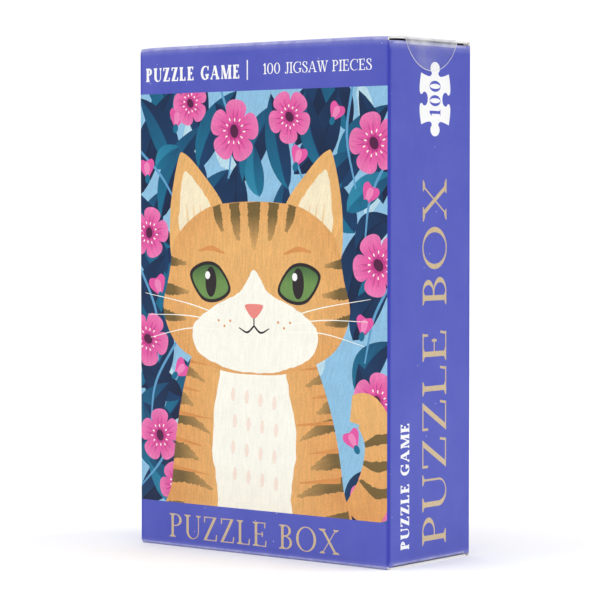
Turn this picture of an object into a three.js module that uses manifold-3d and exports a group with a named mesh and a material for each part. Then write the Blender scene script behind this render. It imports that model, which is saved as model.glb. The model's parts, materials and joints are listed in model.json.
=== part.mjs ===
// A boxed jigsaw puzzle: a straight tuck-end carton holding a clear bag of a hundred pieces.
// Millimetres, +Z up. The front faces -Y and the sealed side faces +X.
// The origin is the middle of the base, on the surface that the carton stands on.

import * as THREE from 'three';
import { mergeVertices } from 'three/addons/utils/BufferGeometryUtils.js';
import Module from 'manifold-3d';

const wasm = await Module();
wasm.setup();

// ---------------------------------------------------------------- driving dimensions

const WIDTH = 88; // outside of the closed carton, along X
const DEPTH = 37; // along Y
const HEIGHT = 140; // along Z
const BOARD = 0.5; // folding boxboard
const CREASE = 0.6; // each plate stops this far from the axis of a moving crease
const BUTT = 0.1; // air where two panels of the tube meet at a fixed fold
const TOP_LID_AIR = 0.5; // air between the top lid and the dust flaps under it
const BOTTOM_LID_AIR = 0.15; // the same at the bottom, where the contents press the flaps onto the lid
const LID_SIDE = 0.2; // the lid is this much narrower than the carton at each side

const TUCK_LENGTH = 13; // from the crease to the free edge
const TUCK_LEAN = THREE.MathUtils.degToRad(18.5); // how far a tucked flap leans inwards
const TUCK_INSET = 1.2; // the tuck flap is this much narrower than the lid at each side
const TUCK_CORNER = 7; // radius of its two free corners
const TUCK_AIR = 0.2; // between the tuck crease and the back panel

const DUST_LENGTH = 30;
const DUST_TAPER = THREE.MathUtils.degToRad(25); // its front edge swings away from the lid's crease
const DUST_FRONT_GAP = 1; // between the lid's crease and the root of the dust flap
const DUST_REACH = 34; // from the lid's crease to the dust flap's rear edge
const DUST_CORNER = 3;

const GLUE_FLAP_WIDTH = 12;
const GLUE_FLAP_END = 16; // it stops this far from the top and the bottom, clear of the tuck flaps

const SEAL_DIAMETER = 25; // clear round wafer seal
const SEAL_FILM = 0.1;
const SEAL_AIR = 0.1; // between the film and the board
const SEAL_ON_LID = 3.8; // the seal's centre lies this far in from the lid's edge

const BAG_WIDTH = 77;
const BAG_FRONT = 0.4; // air between the bag and the front panel
const BAG_DEPTH = 30.4;
const BAG_HEIGHT = 106;
const BAG_FILM = 0.3;
const BAG_CORNER = 6;
const BAG_LIFT = 0.3; // air between the bag and the bottom dust flaps
const VENT_DIAMETER = 6; // punched air hole in the bag

const PUZZLE_COLUMNS = 10;
const PUZZLE_ROWS = 10;
const PIECE_WIDTH = 26;
const PIECE_DEPTH = 20;
const PIECE_THICKNESS = 1.8;
const PIECE_PITCH = 2; // from one layer to the next in the bag
const KNOB_HEIGHT = 4.2;
const KNOB_RADIUS = 2.2;
const NECK_HALF_WIDTH = 1.4;
const COLUMN_SPACING = 36.6; // between the centres of the two columns of pieces
const STACK_LEVELS = 29; // the lowest layers of a column form one solid
const STACK_CELL = [4, 4]; // with the outline of the piece at this column and row
const LEVELS = (PUZZLE_COLUMNS * PUZZLE_ROWS) / 2;
const MAX_TWIST = THREE.MathUtils.degToRad(1.6);

// ---------------------------------------------------------------- derived places

const right = WIDTH / 2;
const front = -DEPTH / 2;
const back = DEPTH / 2;
const frontCreaseY = front + BOARD / 2;
const tuckCreaseY = back - BOARD - BOARD / 2 - TUCK_AIR;
const sideCreaseX = right - BOARD / 2;
const lidCreaseHeight = BOARD / 2; // from the end of the carton to the lid's crease
// from the end of the carton to the axis of its dust creases
const dustCreaseHeight = (lidAir) => BOARD + lidAir + BOARD / 2;
const bagBottom = 2 * BOARD + BOTTOM_LID_AIR + BAG_LIFT;
const bagCentreY = front + BOARD + BAG_FRONT + BAG_DEPTH / 2;

// ---------------------------------------------------------------- materials

function card(colour, roughness) {
  return new THREE.MeshStandardMaterial({ color: colour, roughness, metalness: 0 });
}

const printedCard = () => card(0x6069bf, 0.45);
const plainCard = () => card(0xeceae2, 0.75);
const puzzleCard = () => card(0x86b6cf, 0.5);
const clearFilm = () =>
  new THREE.MeshStandardMaterial({
    color: 0xf4f6fa,
    roughness: 0.15,
    metalness: 0,
    transparent: true,
    opacity: 0.35,
  });

// ---------------------------------------------------------------- helpers

function solidFrom(geometry) {
  const bare = geometry.clone();
  bare.deleteAttribute('normal');
  bare.deleteAttribute('uv');
  const merged = mergeVertices(bare, 1e-4);
  return new wasm.Manifold(
    new wasm.Mesh({
      numProp: 3,
      vertProperties: new Float32Array(merged.attributes.position.array),
      triVerts: new Uint32Array(merged.index.array),
    }),
  );
}

function geometryFrom(solid) {
  const mesh = solid.getMesh();
  const geometry = new THREE.BufferGeometry();
  geometry.setAttribute('position', new THREE.BufferAttribute(mesh.vertProperties, mesh.numProp));
  geometry.setIndex(new THREE.BufferAttribute(mesh.triVerts, 1));
  geometry.computeVertexNormals();
  return geometry;
}

function addMesh(parent, name, geometry, material) {
  const mesh = new THREE.Mesh(geometry, material);
  mesh.name = name;
  parent.add(mesh);
  return mesh;
}

// A box given by its lowest and highest corners.
function slab(low, high) {
  const size = high.map((value, i) => value - low[i]);
  const geometry = new THREE.BoxGeometry(...size);
  geometry.translate(...low.map((value, i) => value + size[i] / 2));
  return geometry;
}

// A flat outline given a thickness that is centred on z = 0.
function plate(shape, thickness, curveSegments = 5) {
  const geometry = new THREE.ExtrudeGeometry(shape, {
    depth: thickness,
    bevelEnabled: false,
    curveSegments,
  });
  geometry.translate(0, 0, -thickness / 2);
  return geometry;
}

// A closed polygon whose corners are rounded, each with its own radius.
function roundedPolygon(corners) {
  const shape = new THREE.Shape();
  corners.forEach(([x, y, radius = 0], i) => {
    const corner = new THREE.Vector2(x, y);
    const before = new THREE.Vector2(...corners[(i + corners.length - 1) % corners.length]);
    const after = new THREE.Vector2(...corners[(i + 1) % corners.length]);
    const start = corner.clone().lerp(before, radius / corner.distanceTo(before));
    const end = corner.clone().lerp(after, radius / corner.distanceTo(after));
    if (i === 0) shape.moveTo(start.x, start.y);
    else shape.lineTo(start.x, start.y);
    if (radius > 0) shape.quadraticCurveTo(x, y, end.x, end.y);
  });
  shape.closePath();
  return shape;
}

// ---------------------------------------------------------------- the tube of four panels

function addTube(carton) {
  const faceTop = HEIGHT - lidCreaseHeight - CREASE;
  const faceBottom = lidCreaseHeight + CREASE;
  const sideTop = HEIGHT - dustCreaseHeight(TOP_LID_AIR) - CREASE;
  const sideBottom = dustCreaseHeight(BOTTOM_LID_AIR) + CREASE;
  const sideFront = front + BOARD + BUTT;
  const sideBack = back - BOARD - BUTT;

  addMesh(
    carton,
    'front_panel',
    slab([-right, front, faceBottom], [right, front + BOARD, faceTop]),
    printedCard(),
  );
  addMesh(carton, 'back_panel', slab([-right, back - BOARD, 0], [right, back, HEIGHT]), printedCard());
  addMesh(
    carton,
    'left_side_panel',
    slab([-right, sideFront, sideBottom], [-right + BOARD, sideBack, sideTop]),
    printedCard(),
  );
  addMesh(
    carton,
    'right_side_panel',
    slab([right - BOARD, sideFront, sideBottom], [right, sideBack, sideTop]),
    printedCard(),
  );

  // The seam: a flap of the left side glued inside the back panel.
  const glueLeft = -right + BOARD + BUTT;
  addMesh(
    carton,
    'glue_flap',
    slab(
      [glueLeft, sideBack - BOARD, GLUE_FLAP_END],
      [glueLeft + GLUE_FLAP_WIDTH, sideBack, HEIGHT - GLUE_FLAP_END],
    ),
    plainCard(),
  );
}

// ---------------------------------------------------------------- the two closures

function lidGeometry() {
  const halfWidth = right - LID_SIDE;
  const length = tuckCreaseY - frontCreaseY;
  return slab([-halfWidth, CREASE, -BOARD / 2], [halfWidth, length - CREASE, BOARD / 2]);
}

function tuckGeometry() {
  const halfWidth = right - LID_SIDE - TUCK_INSET;
  return plate(
    roundedPolygon([
      [-halfWidth, CREASE],
      [halfWidth, CREASE],
      [halfWidth - 1, TUCK_LENGTH, TUCK_CORNER],
      [-halfWidth + 1, TUCK_LENGTH, TUCK_CORNER],
    ]),
    BOARD,
  );
}

// Drawn for the right-hand side, pointing from its crease towards -X.
function dustGeometry() {
  const slope = Math.tan(DUST_TAPER);
  const frontEdgeAt = (distance) => DUST_FRONT_GAP + distance * slope;
  return plate(
    roundedPolygon([
      [-CREASE, frontEdgeAt(CREASE)],
      [-CREASE, DUST_REACH],
      [-DUST_LENGTH, DUST_REACH - 2, DUST_CORNER],
      [-DUST_LENGTH, frontEdgeAt(DUST_LENGTH), DUST_CORNER],
    ]),
    BOARD,
  );
}

// One closure, built as the top one. The bottom one is the same turned upside down.
// The sides are the names of its dust flaps: first the one at +X as built, then the one at -X.
function addClosure(parent, prefix, sides, lidAir) {
  const lidGroup = new THREE.Group();
  lidGroup.position.set(0, frontCreaseY, -lidCreaseHeight);
  parent.add(lidGroup);
  addMesh(lidGroup, `${prefix}_lid`, lidGeometry(), printedCard());

  const tuckGroup = new THREE.Group();
  tuckGroup.position.set(0, tuckCreaseY - frontCreaseY, 0);
  tuckGroup.rotation.x = -(Math.PI / 2 + TUCK_LEAN);
  lidGroup.add(tuckGroup);
  addMesh(tuckGroup, `${prefix}_tuck_flap`, tuckGeometry(), printedCard());

  sides.forEach((side, i) => {
    const sign = i === 0 ? 1 : -1;
    const flap = dustGeometry();
    if (sign < 0) {
      flap.scale(-1, 1, 1);
      turnInsideOut(flap);
    }
    const mesh = addMesh(parent, `${prefix}_dust_flap_${side}`, flap, printedCard());
    mesh.position.set(sign * sideCreaseX, frontCreaseY, -dustCreaseHeight(lidAir));
  });
}

// A mirrored geometry has its faces turned round, and this turns them out again.
function turnInsideOut(geometry) {
  const position = geometry.attributes.position;
  for (let i = 0; i < position.count; i += 3) {
    const [a, b] = [i + 1, i + 2].map((k) => new THREE.Vector3().fromBufferAttribute(position, k));
    position.setXYZ(i + 1, ...b);
    position.setXYZ(i + 2, ...a);
  }
  geometry.computeVertexNormals();
}

// A round film folded over the lid's edge: part of the disc lies on the lid, the rest on the side.
function sealGeometry() {
  const radius = SEAL_DIAMETER / 2;
  const edgeX = right + SEAL_AIR + SEAL_FILM;
  const edgeZ = HEIGHT + SEAL_AIR + SEAL_FILM;
  const reach = Math.sqrt(radius ** 2 - SEAL_ON_LID ** 2);
  const halfAngle = Math.asin(reach / radius);
  const segments = 24;

  const onLid = new THREE.Shape();
  onLid.absarc(-SEAL_ON_LID, 0, radius, halfAngle, 2 * Math.PI - halfAngle, false);
  onLid.closePath();
  const lidPart = new THREE.ExtrudeGeometry(onLid, {
    depth: SEAL_FILM,
    bevelEnabled: false,
    curveSegments: segments,
  });
  lidPart.translate(edgeX, 0, edgeZ - SEAL_FILM);

  const onSide = new THREE.Shape();
  onSide.absarc(-SEAL_ON_LID, 0, radius, -halfAngle, halfAngle, false);
  onSide.closePath();
  const sidePart = new THREE.ExtrudeGeometry(onSide, {
    depth: SEAL_FILM,
    bevelEnabled: false,
    curveSegments: segments / 2,
  });
  sidePart.rotateY(Math.PI / 2);
  sidePart.translate(edgeX - SEAL_FILM, 0, edgeZ);

  return geometryFrom(solidFrom(lidPart).add(solidFrom(sidePart)));
}

// ---------------------------------------------------------------- the bag

function bagOutline(halfWidth, halfDepth, corner) {
  return roundedPolygon([
    [-halfWidth, -halfDepth, corner],
    [halfWidth, -halfDepth, corner],
    [halfWidth, halfDepth, corner],
    [-halfWidth, halfDepth, corner],
  ]);
}

// A closed film bag. The vent hole in its top is the only way in.
function bagGeometry() {
  const [halfWidth, halfDepth] = [BAG_WIDTH / 2, BAG_DEPTH / 2];
  const outer = plate(bagOutline(halfWidth, halfDepth, BAG_CORNER), BAG_HEIGHT, 4);
  const inner = plate(
    bagOutline(halfWidth - BAG_FILM, halfDepth - BAG_FILM, BAG_CORNER),
    BAG_HEIGHT - 2 * BAG_FILM,
    4,
  );
  const vent = new THREE.CylinderGeometry(VENT_DIAMETER / 2, VENT_DIAMETER / 2, 4 * BAG_FILM, 16);
  vent.rotateX(Math.PI / 2);
  vent.translate(0, 0, BAG_HEIGHT / 2);
  return geometryFrom(solidFrom(outer).subtract(solidFrom(inner)).subtract(solidFrom(vent)));
}

// ---------------------------------------------------------------- the jigsaw pieces

// A repeatable number from -1 to 1 for each whole number.
function scatter(seed) {
  const wave = Math.sin(seed * 12.9898 + 4.1414) * 43758.5453;
  return 2 * (wave - Math.floor(wave)) - 1;
}

// The cut between two neighbours: which side its knob is on (0 on the puzzle's border), and
// how far the knob is shifted along the cut.
function cut(column, row, upright) {
  const [place, end] = upright ? [column, PUZZLE_COLUMNS] : [row, PUZZLE_ROWS];
  if (place === 0 || place === end) return { side: 0, shift: 0 };
  const seed = 1 + column + 23 * row + (upright ? 997 : 0);
  return { side: scatter(seed) > 0 ? 1 : -1, shift: 1.2 * scatter(seed + 0.5) };
}

// One side of a piece, walked from start to end, with its knob standing out or in.
function walkSide(outline, start, end, { side, shift }, outwards) {
  outline.lineTo(start.x, start.y);
  if (side === 0) return;
  const along = end.clone().sub(start).normalize();
  const out = new THREE.Vector2(along.y, -along.x).multiplyScalar(side * outwards);
  const upOrRight = new THREE.Vector2(Math.abs(along.x), Math.abs(along.y));
  const middle = start.clone().lerp(end, 0.5).addScaledVector(upOrRight, shift);
  const place = (a, o) => middle.clone().addScaledVector(along, a).addScaledVector(out, o);
  const centre = KNOB_HEIGHT - KNOB_RADIUS;
  const neckAngle = Math.asin(NECK_HALF_WIDTH / KNOB_RADIUS);
  const firstNeck = place(-NECK_HALF_WIDTH, 0);
  outline.lineTo(firstNeck.x, firstNeck.y);
  const steps = 7;
  for (let i = 0; i <= steps; i += 1) {
    const angle = -Math.PI / 2 - neckAngle - (i / steps) * (2 * Math.PI - 2 * neckAngle);
    const point = place(KNOB_RADIUS * Math.cos(angle), centre + KNOB_RADIUS * Math.sin(angle));
    outline.lineTo(point.x, point.y);
  }
  const lastNeck = place(NECK_HALF_WIDTH, 0);
  outline.lineTo(lastNeck.x, lastNeck.y);
}

// The outline of the piece at a column and row of the finished puzzle, centred on its cell.
function pieceOutline(column, row) {
  const [halfWidth, halfDepth] = [PIECE_WIDTH / 2, PIECE_DEPTH / 2];
  const corners = [
    new THREE.Vector2(-halfWidth, -halfDepth),
    new THREE.Vector2(halfWidth, -halfDepth),
    new THREE.Vector2(halfWidth, halfDepth),
    new THREE.Vector2(-halfWidth, halfDepth),
  ];
  const outline = new THREE.Shape();
  outline.moveTo(corners[0].x, corners[0].y);
  walkSide(outline, corners[0], corners[1], cut(column, row, false), 1);
  walkSide(outline, corners[1], corners[2], cut(column + 1, row, true), 1);
  walkSide(outline, corners[2], corners[3], cut(column, row + 1, false), -1);
  walkSide(outline, corners[3], corners[0], cut(column, row, true), -1);
  outline.closePath();
  return outline;
}

function addPieces(bag) {
  const floor = bagBottom + 2 * BAG_FILM;
  for (const [side, sign] of [['left', -1], ['right', 1]]) {
    const columnX = (sign * COLUMN_SPACING) / 2;
    const firstIndex = sign < 0 ? 0 : LEVELS;
    const stackHeight = (STACK_LEVELS - 1) * PIECE_PITCH + PIECE_THICKNESS;
    const stack = addMesh(
      bag,
      `piece_stack_${side}`,
      plate(pieceOutline(STACK_CELL[0], STACK_CELL[1]), stackHeight),
      puzzleCard(),
    );
    stack.position.set(columnX, bagCentreY, floor + stackHeight / 2);

    for (let level = STACK_LEVELS; level < LEVELS; level += 1) {
      const index = firstIndex + level;
      const [column, row] = [index % PUZZLE_COLUMNS, Math.floor(index / PUZZLE_COLUMNS)];
      const piece = addMesh(
        bag,
        `puzzle_piece_${String(index + 1).padStart(3, '0')}`,
        plate(pieceOutline(column, row), PIECE_THICKNESS),
        puzzleCard(),
      );
      piece.position.set(columnX, bagCentreY, floor + level * PIECE_PITCH + PIECE_THICKNESS / 2);
      piece.rotation.z = MAX_TWIST * scatter(index + 7);
    }
  }
}

// ---------------------------------------------------------------- the whole object

function buildPuzzleBox() {
  const puzzleBox = new THREE.Group();
  addTube(puzzleBox);

  const topClosure = new THREE.Group();
  topClosure.position.z = HEIGHT;
  puzzleBox.add(topClosure);
  addClosure(topClosure, 'top', ['right', 'left'], TOP_LID_AIR);

  // A half turn about Y puts the closure upside down, keeps its hinge on the front panel and
  // swaps its left and right.
  const bottomClosure = new THREE.Group();
  bottomClosure.rotation.y = Math.PI;
  puzzleBox.add(bottomClosure);
  addClosure(bottomClosure, 'bottom', ['left', 'right'], BOTTOM_LID_AIR);

  addMesh(puzzleBox, 'round_seal', sealGeometry(), clearFilm());

  const bag = addMesh(puzzleBox, 'inner_bag', bagGeometry(), clearFilm());
  bag.position.set(0, bagCentreY, bagBottom + BAG_HEIGHT / 2);
  addPieces(puzzleBox);
  return puzzleBox;
}

export default buildPuzzleBox();
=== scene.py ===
"""A boxed jigsaw puzzle: the printed card, folds, seal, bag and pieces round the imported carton."""

import json
import math
import random

import bmesh
import bpy
import numpy as np
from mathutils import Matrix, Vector
from mathutils import noise as mathutils_noise
from mathutils.geometry import delaunay_2d_cdt


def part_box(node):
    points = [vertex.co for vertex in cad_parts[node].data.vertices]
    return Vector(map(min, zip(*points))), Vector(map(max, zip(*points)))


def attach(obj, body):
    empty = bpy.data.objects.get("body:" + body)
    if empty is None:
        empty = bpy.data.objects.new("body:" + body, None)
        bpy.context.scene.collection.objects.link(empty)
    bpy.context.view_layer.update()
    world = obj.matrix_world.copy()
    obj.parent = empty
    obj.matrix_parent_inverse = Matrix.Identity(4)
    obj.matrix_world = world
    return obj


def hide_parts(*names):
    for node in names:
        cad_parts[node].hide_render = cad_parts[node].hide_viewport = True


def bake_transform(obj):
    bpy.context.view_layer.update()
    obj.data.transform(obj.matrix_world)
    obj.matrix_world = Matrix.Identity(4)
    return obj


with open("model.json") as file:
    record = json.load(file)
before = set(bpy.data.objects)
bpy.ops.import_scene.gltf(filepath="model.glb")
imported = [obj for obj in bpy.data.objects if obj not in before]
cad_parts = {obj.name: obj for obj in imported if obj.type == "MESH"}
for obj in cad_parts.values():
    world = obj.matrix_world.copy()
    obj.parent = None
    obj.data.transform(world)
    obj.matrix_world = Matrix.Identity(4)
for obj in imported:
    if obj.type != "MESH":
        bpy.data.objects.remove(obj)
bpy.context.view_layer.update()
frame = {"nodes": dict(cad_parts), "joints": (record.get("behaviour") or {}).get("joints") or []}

# ---------------------------------------------------------------- the carton, from the frame

MM = 0.001
RIGHTWARDS, BACKWARDS, UP = Vector((1, 0, 0)), Vector((0, 1, 0)), Vector((0, 0, 1))

FRONT_LOW, FRONT_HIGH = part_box("front_panel")
LEFT, RIGHT = FRONT_LOW.x, FRONT_HIGH.x
FRONT, BACK = FRONT_LOW.y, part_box("back_panel")[1].y
BOTTOM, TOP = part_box("bottom_lid")[0].z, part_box("top_lid")[1].z
BOARD = FRONT_HIGH.y - FRONT_LOW.y
WIDTH_MM = (RIGHT - LEFT) / MM
DEPTH_MM = (BACK - FRONT) / MM
HEIGHT_MM = (TOP - BOTTOM) / MM
BOARD_MM = BOARD / MM

FOLD_RADIUS_MM = 0.65  # outside radius of the folded card
FOLD_STEPS = 6
SHOULDER_MM = 0.85  # how far a side panel reaches past its creases beside a dust flap
SEAM_INSET_MM = 0.15  # the back panel's free edge lies this far in from the corner
BLEED_MM = 6.8  # how far the print runs over a dust flap

CREASE_GAP = TOP - BOARD / 2 - FRONT_HIGH.z  # a plate stops this far from its crease's axis
CREASE_END = 0.3 * MM  # a crease stops this far from the end of its lid or flap
CREASE_STEPS, CREASE_SPANS = 8, 48

FOLD_WEAR_AND_HIGHLIGHT = 0.55  # how rubbed the print is along the moving creases, which also paints a highlight there
TOP_WEAR_AND_HIGHLIGHT, TOP_WEAR_AND_HIGHLIGHT_MM = 0.26, 1.6  # how rubbed a wall is at its top, with a painted highlight on the top fold, and how far down
# rubbed print and painted highlight along a wall's bottom fold, and how far up
BOTTOM_WEAR_AND_HIGHLIGHT, BOTTOM_WEAR_AND_HIGHLIGHT_MM = 0.14, 0.8
WEAR_AND_HIGHLIGHT_LINES = (0.3, 0.7, 1.15, 1.7)  # distances from a wall's ends where the wear and painted highlight change
PAINTED_FOLD_SHADE, PAINTED_FOLD_SHADE_MM = 0.85, 0.62  # how strongly painted shade darkens the ink in an upright fold, and how soon that fades

DROOP_MM = 0.45  # how far the top fold sinks at its two ends, where fingers have squeezed it
DROOP_REACH_MM = 3.0
DROOP_DEPTH_MM, DROOP_FADE_MM = 6.0, 4.5  # it reaches this far down the walls and fades over so much
DROOP_LINES = (0.4, 0.9, 1.6, 2.6, 4.0, 6.0, 9.0)  # distances from a drooping corner where card bends
DROOP_LEVELS = (2.6, 4.0, 5.2)  # distances from the top where a wall bends

SEAL_BEND_MM = 0.9  # outside radius of the film's fold
SEAL_RIM_MM = 0.24
SEAL_THICK_MM = 0.1
SEAL_HIGHLIGHT_MM = (-0.5, 2.0)  # where the film over the fold carries a painted highlight, paler and more opaque, from the lid's edge
SEAL_ROUND = 96  # points round the seal
SEAL_DOTS = 500

BAND_MM, TOP_BAND_MM = 12.4, 13.1  # violet below and above the picture
DOTS_ACROSS = 56  # loose points across a picture
PICTURE_LOW, PICTURE_HIGH = BAND_MM, HEIGHT_MM - TOP_BAND_MM


def drooped(point):
    """A point of the closed carton, let down if it is near a front corner of the top."""
    from_side = WIDTH_MM / 2 - abs(point.x) / MM
    from_front = (point.y - FRONT) / MM
    from_top = (TOP - point.z) / MM
    share = min(1.0, max(0.0, (DROOP_DEPTH_MM - from_top) / DROOP_FADE_MM))
    fall = DROOP_MM * share * math.exp(-(max(0.0, from_side) + max(0.0, from_front)) / DROOP_REACH_MM)
    return point - UP * fall * MM


# ---------------------------------------------------------------- inks

INKS = {
    "violet": (83, 91, 191),
    "white": (250, 250, 250),
    "gold": (212, 186, 140),
    "sky": (146, 198, 232),
    "sky_light": (190, 225, 240),
    "sky_deep": (96, 160, 205),
    "navy": (14, 32, 66),
    "ocean": (16, 60, 104),
    "teal": (18, 110, 146),
    "teal_light": (44, 138, 172),
    "pink": (232, 90, 168),
    "pink_light": (242, 138, 192),
    "pink_deep": (198, 60, 138),
    "plum": (84, 28, 70),
    "fur": (238, 184, 114),
    "fur_light": (242, 208, 154),
    "fur_deep": (222, 150, 82),
    "stripe": (120, 98, 54),
    "cream": (253, 252, 241),
    "cream_warm": (250, 238, 206),
    "blush": (247, 230, 216),
    "nose": (238, 140, 132),
    "ink": (46, 38, 42),
    "eye": (112, 150, 84),
    "eye_deep": (66, 104, 62),
}


def linear(colour):
    """An sRGB colour of 0 to 255 as the linear numbers that shaders use."""
    parts = [c / 255 for c in colour]
    return tuple(p / 12.92 if p <= 0.04045 else ((p + 0.055) / 1.055) ** 2.4 for p in parts)


LINEAR_INKS = {name: linear(colour) for name, colour in INKS.items()}


def mix(a, b, t):
    return tuple(x + (y - x) * t for x, y in zip(a, b))


# ---------------------------------------------------------------- flat outlines, in millimetres

def rectangle(x0, y0, x1, y1):
    return np.array([(x0, y0), (x1, y0), (x1, y1), (x0, y1)], float)


def ellipse(cx, cy, rx, ry=None, turn=0.0, start=0.0, end=360.0, points=36):
    """Points on an ellipse, or on the arc of one from start to end in degrees."""
    whole = abs(end - start) >= 360
    angles = np.radians(np.linspace(start, end, points, endpoint=not whole))
    arc = np.column_stack([rx * np.cos(angles), (ry or rx) * np.sin(angles)])
    return moved(arc, cx, cy, turn=turn)


def smooth(points, closed=True, steps=6):
    """A smooth curve through given points."""
    p = np.array(points, float)
    if not closed:
        p = np.vstack([2 * p[0] - p[1], p, 2 * p[-1] - p[-2]])
    count = len(p)
    curve = []
    for i in range(count) if closed else range(1, count - 2):
        a, b, c, d = (p[(i + k) % count] for k in (-1, 0, 1, 2))
        for t in np.arange(steps) / steps:
            square, cube = 2 * a - 5 * b + 4 * c - d, 3 * b - a - 3 * c + d
            curve.append(0.5 * (2 * b + (c - a) * t + square * t * t + cube * t ** 3))
    if not closed:
        curve.append(p[-2])
    return np.array(curve)


def symmetric(half, steps=6):
    """A smooth closed outline from the points of its left half. x = 0 is its middle line."""
    return smooth([*half, *((-x, y) for x, y in reversed(half) if x)], steps=steps)


def ribbon(points, widths, steps=6, curved=True):
    """A brush stroke along a path, whose width goes smoothly through the given widths."""
    path = smooth(points, closed=False, steps=steps) if curved else np.array(points, float)
    along = np.gradient(path, axis=0)
    along /= np.linalg.norm(along, axis=1)[:, None] + 1e-9
    across = np.column_stack([-along[:, 1], along[:, 0]])
    t = np.linspace(0, 1, len(path))
    half = np.interp(t, np.linspace(0, 1, len(widths)), widths)[:, None] / 2
    return np.vstack([path + across * half, (path - across * half)[::-1]])


def moved(outline, dx=0.0, dy=0.0, scale=1.0, turn=0.0):
    c, s = math.cos(math.radians(turn)), math.sin(math.radians(turn))
    return np.asarray(outline) * scale @ np.array([[c, s], [-s, c]]) + (dx, dy)


def ragged(outline, amount, seed):
    """The same outline with the small unevenness of a dry brush."""
    draw = random.Random(seed)
    return outline + np.array([[draw.uniform(-amount, amount) for _ in "xy"] for _ in outline])


class Layer:
    """One printed shape: an ink, an outline, the direction of its brush marks and a shading rule.

    shade is a second ink and a function of the point that says how much of it there is. clip keeps
    the shape inside the panel's window, and within inside another outline.
    """

    def __init__(self, ink, outline, grain=90.0, brush=1.0, shade=None, clip=True, within=None):
        self.ink, self.outline = ink, np.asarray(outline, float)
        self.grain, self.brush, self.shade = grain, brush, shade
        self.clip, self.within = clip, within

    def colour(self, point):
        base = LINEAR_INKS[self.ink]
        if self.shade is None:
            return base
        other, amount = self.shade
        return mix(base, LINEAR_INKS[other], min(1.0, max(0.0, amount(point))))

    def placed(self, x, y, scale=1.0):
        """The same layer, scaled about the origin, with the origin moved to (x, y)."""
        shade, within = self.shade, self.within
        if shade is not None:
            other, amount = shade
            shade = (other, lambda p: amount(((p[0] - x) / scale, (p[1] - y) / scale)))
        if within is not None:
            within = within * scale + (x, y)
        outline = self.outline * scale + (x, y)
        return Layer(self.ink, outline, self.grain, self.brush, shade, self.clip, within)


def placed(layers, x, y, scale=1.0):
    return [layer.placed(x, y, scale) for layer in layers]


def inside(outline, points):
    """Which points lie inside a closed outline."""
    outline = np.asarray(outline, float)
    found = np.zeros(len(points), bool)
    low, high = outline.min(0), outline.max(0)
    near = np.where(((points >= low) & (points <= high)).all(1))[0]
    if not len(near):
        return found
    x, y = points[near, 0][:, None], points[near, 1][:, None]
    x0, y0 = outline[:, 0], outline[:, 1]
    x1, y1 = np.roll(x0, -1), np.roll(y0, -1)
    crosses = (y0 > y) != (y1 > y)
    with np.errstate(divide="ignore", invalid="ignore"):
        where = x0 + (y - y0) * (x1 - x0) / (y1 - y0)
    found[near] = (crosses & (x < where)).sum(1) % 2 == 1
    return found


def partition(outline, layers, window=None, guides=(), dots=()):
    """Cuts a flat outline along every layer's edge.

    Returns the points, the triangles and, for each triangle, the topmost layer's number or -1.
    window is the rectangle that clipped layers stay inside, guides are lines that are cut too and
    dots are loose points that make the triangles smaller.
    """
    points, edges = [], []

    def add(loop, closed=True):
        first, count = len(points), len(loop)
        points.extend(Vector(p) for p in loop)
        last = count if closed else count - 1
        edges.extend((first + i, first + (i + 1) % count) for i in range(last))

    add(outline)
    if window is not None:
        add(window)
    for guide in guides:
        add(guide, closed=False)
    for layer in layers:
        add(layer.outline)
    points.extend(Vector(p) for p in dots)
    flat, _, triangles, *_ = delaunay_2d_cdt(points, edges, [], 0, 1e-4)
    flat = np.array([tuple(p) for p in flat])
    triangles = np.array([t for t in triangles if len(t) == 3])
    triangles = triangles[inside(outline, flat[triangles].mean(1))]
    centres = flat[triangles].mean(1)
    owner = np.full(len(triangles), -1)
    clipped = inside(window, centres) if window is not None else True
    for number, layer in enumerate(layers):
        hit = inside(layer.outline, centres)
        if layer.clip:
            hit &= clipped
        if layer.within is not None:
            hit &= inside(layer.within, centres)
        owner[hit] = number
    used, renumbered = np.unique(triangles, return_inverse=True)
    return flat[used], renumbered.reshape(triangles.shape), owner


# ---------------------------------------------------------------- lettering

S_SPINE = ((0.45, 0.8), (0.37, 0.955), (0.26, 0.985), (0.12, 0.91), (0.11, 0.74), (0.26, 0.58),
           (0.42, 0.43), (0.49, 0.25), (0.41, 0.07), (0.27, 0.015), (0.14, 0.05), (0.06, 0.22))


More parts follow.
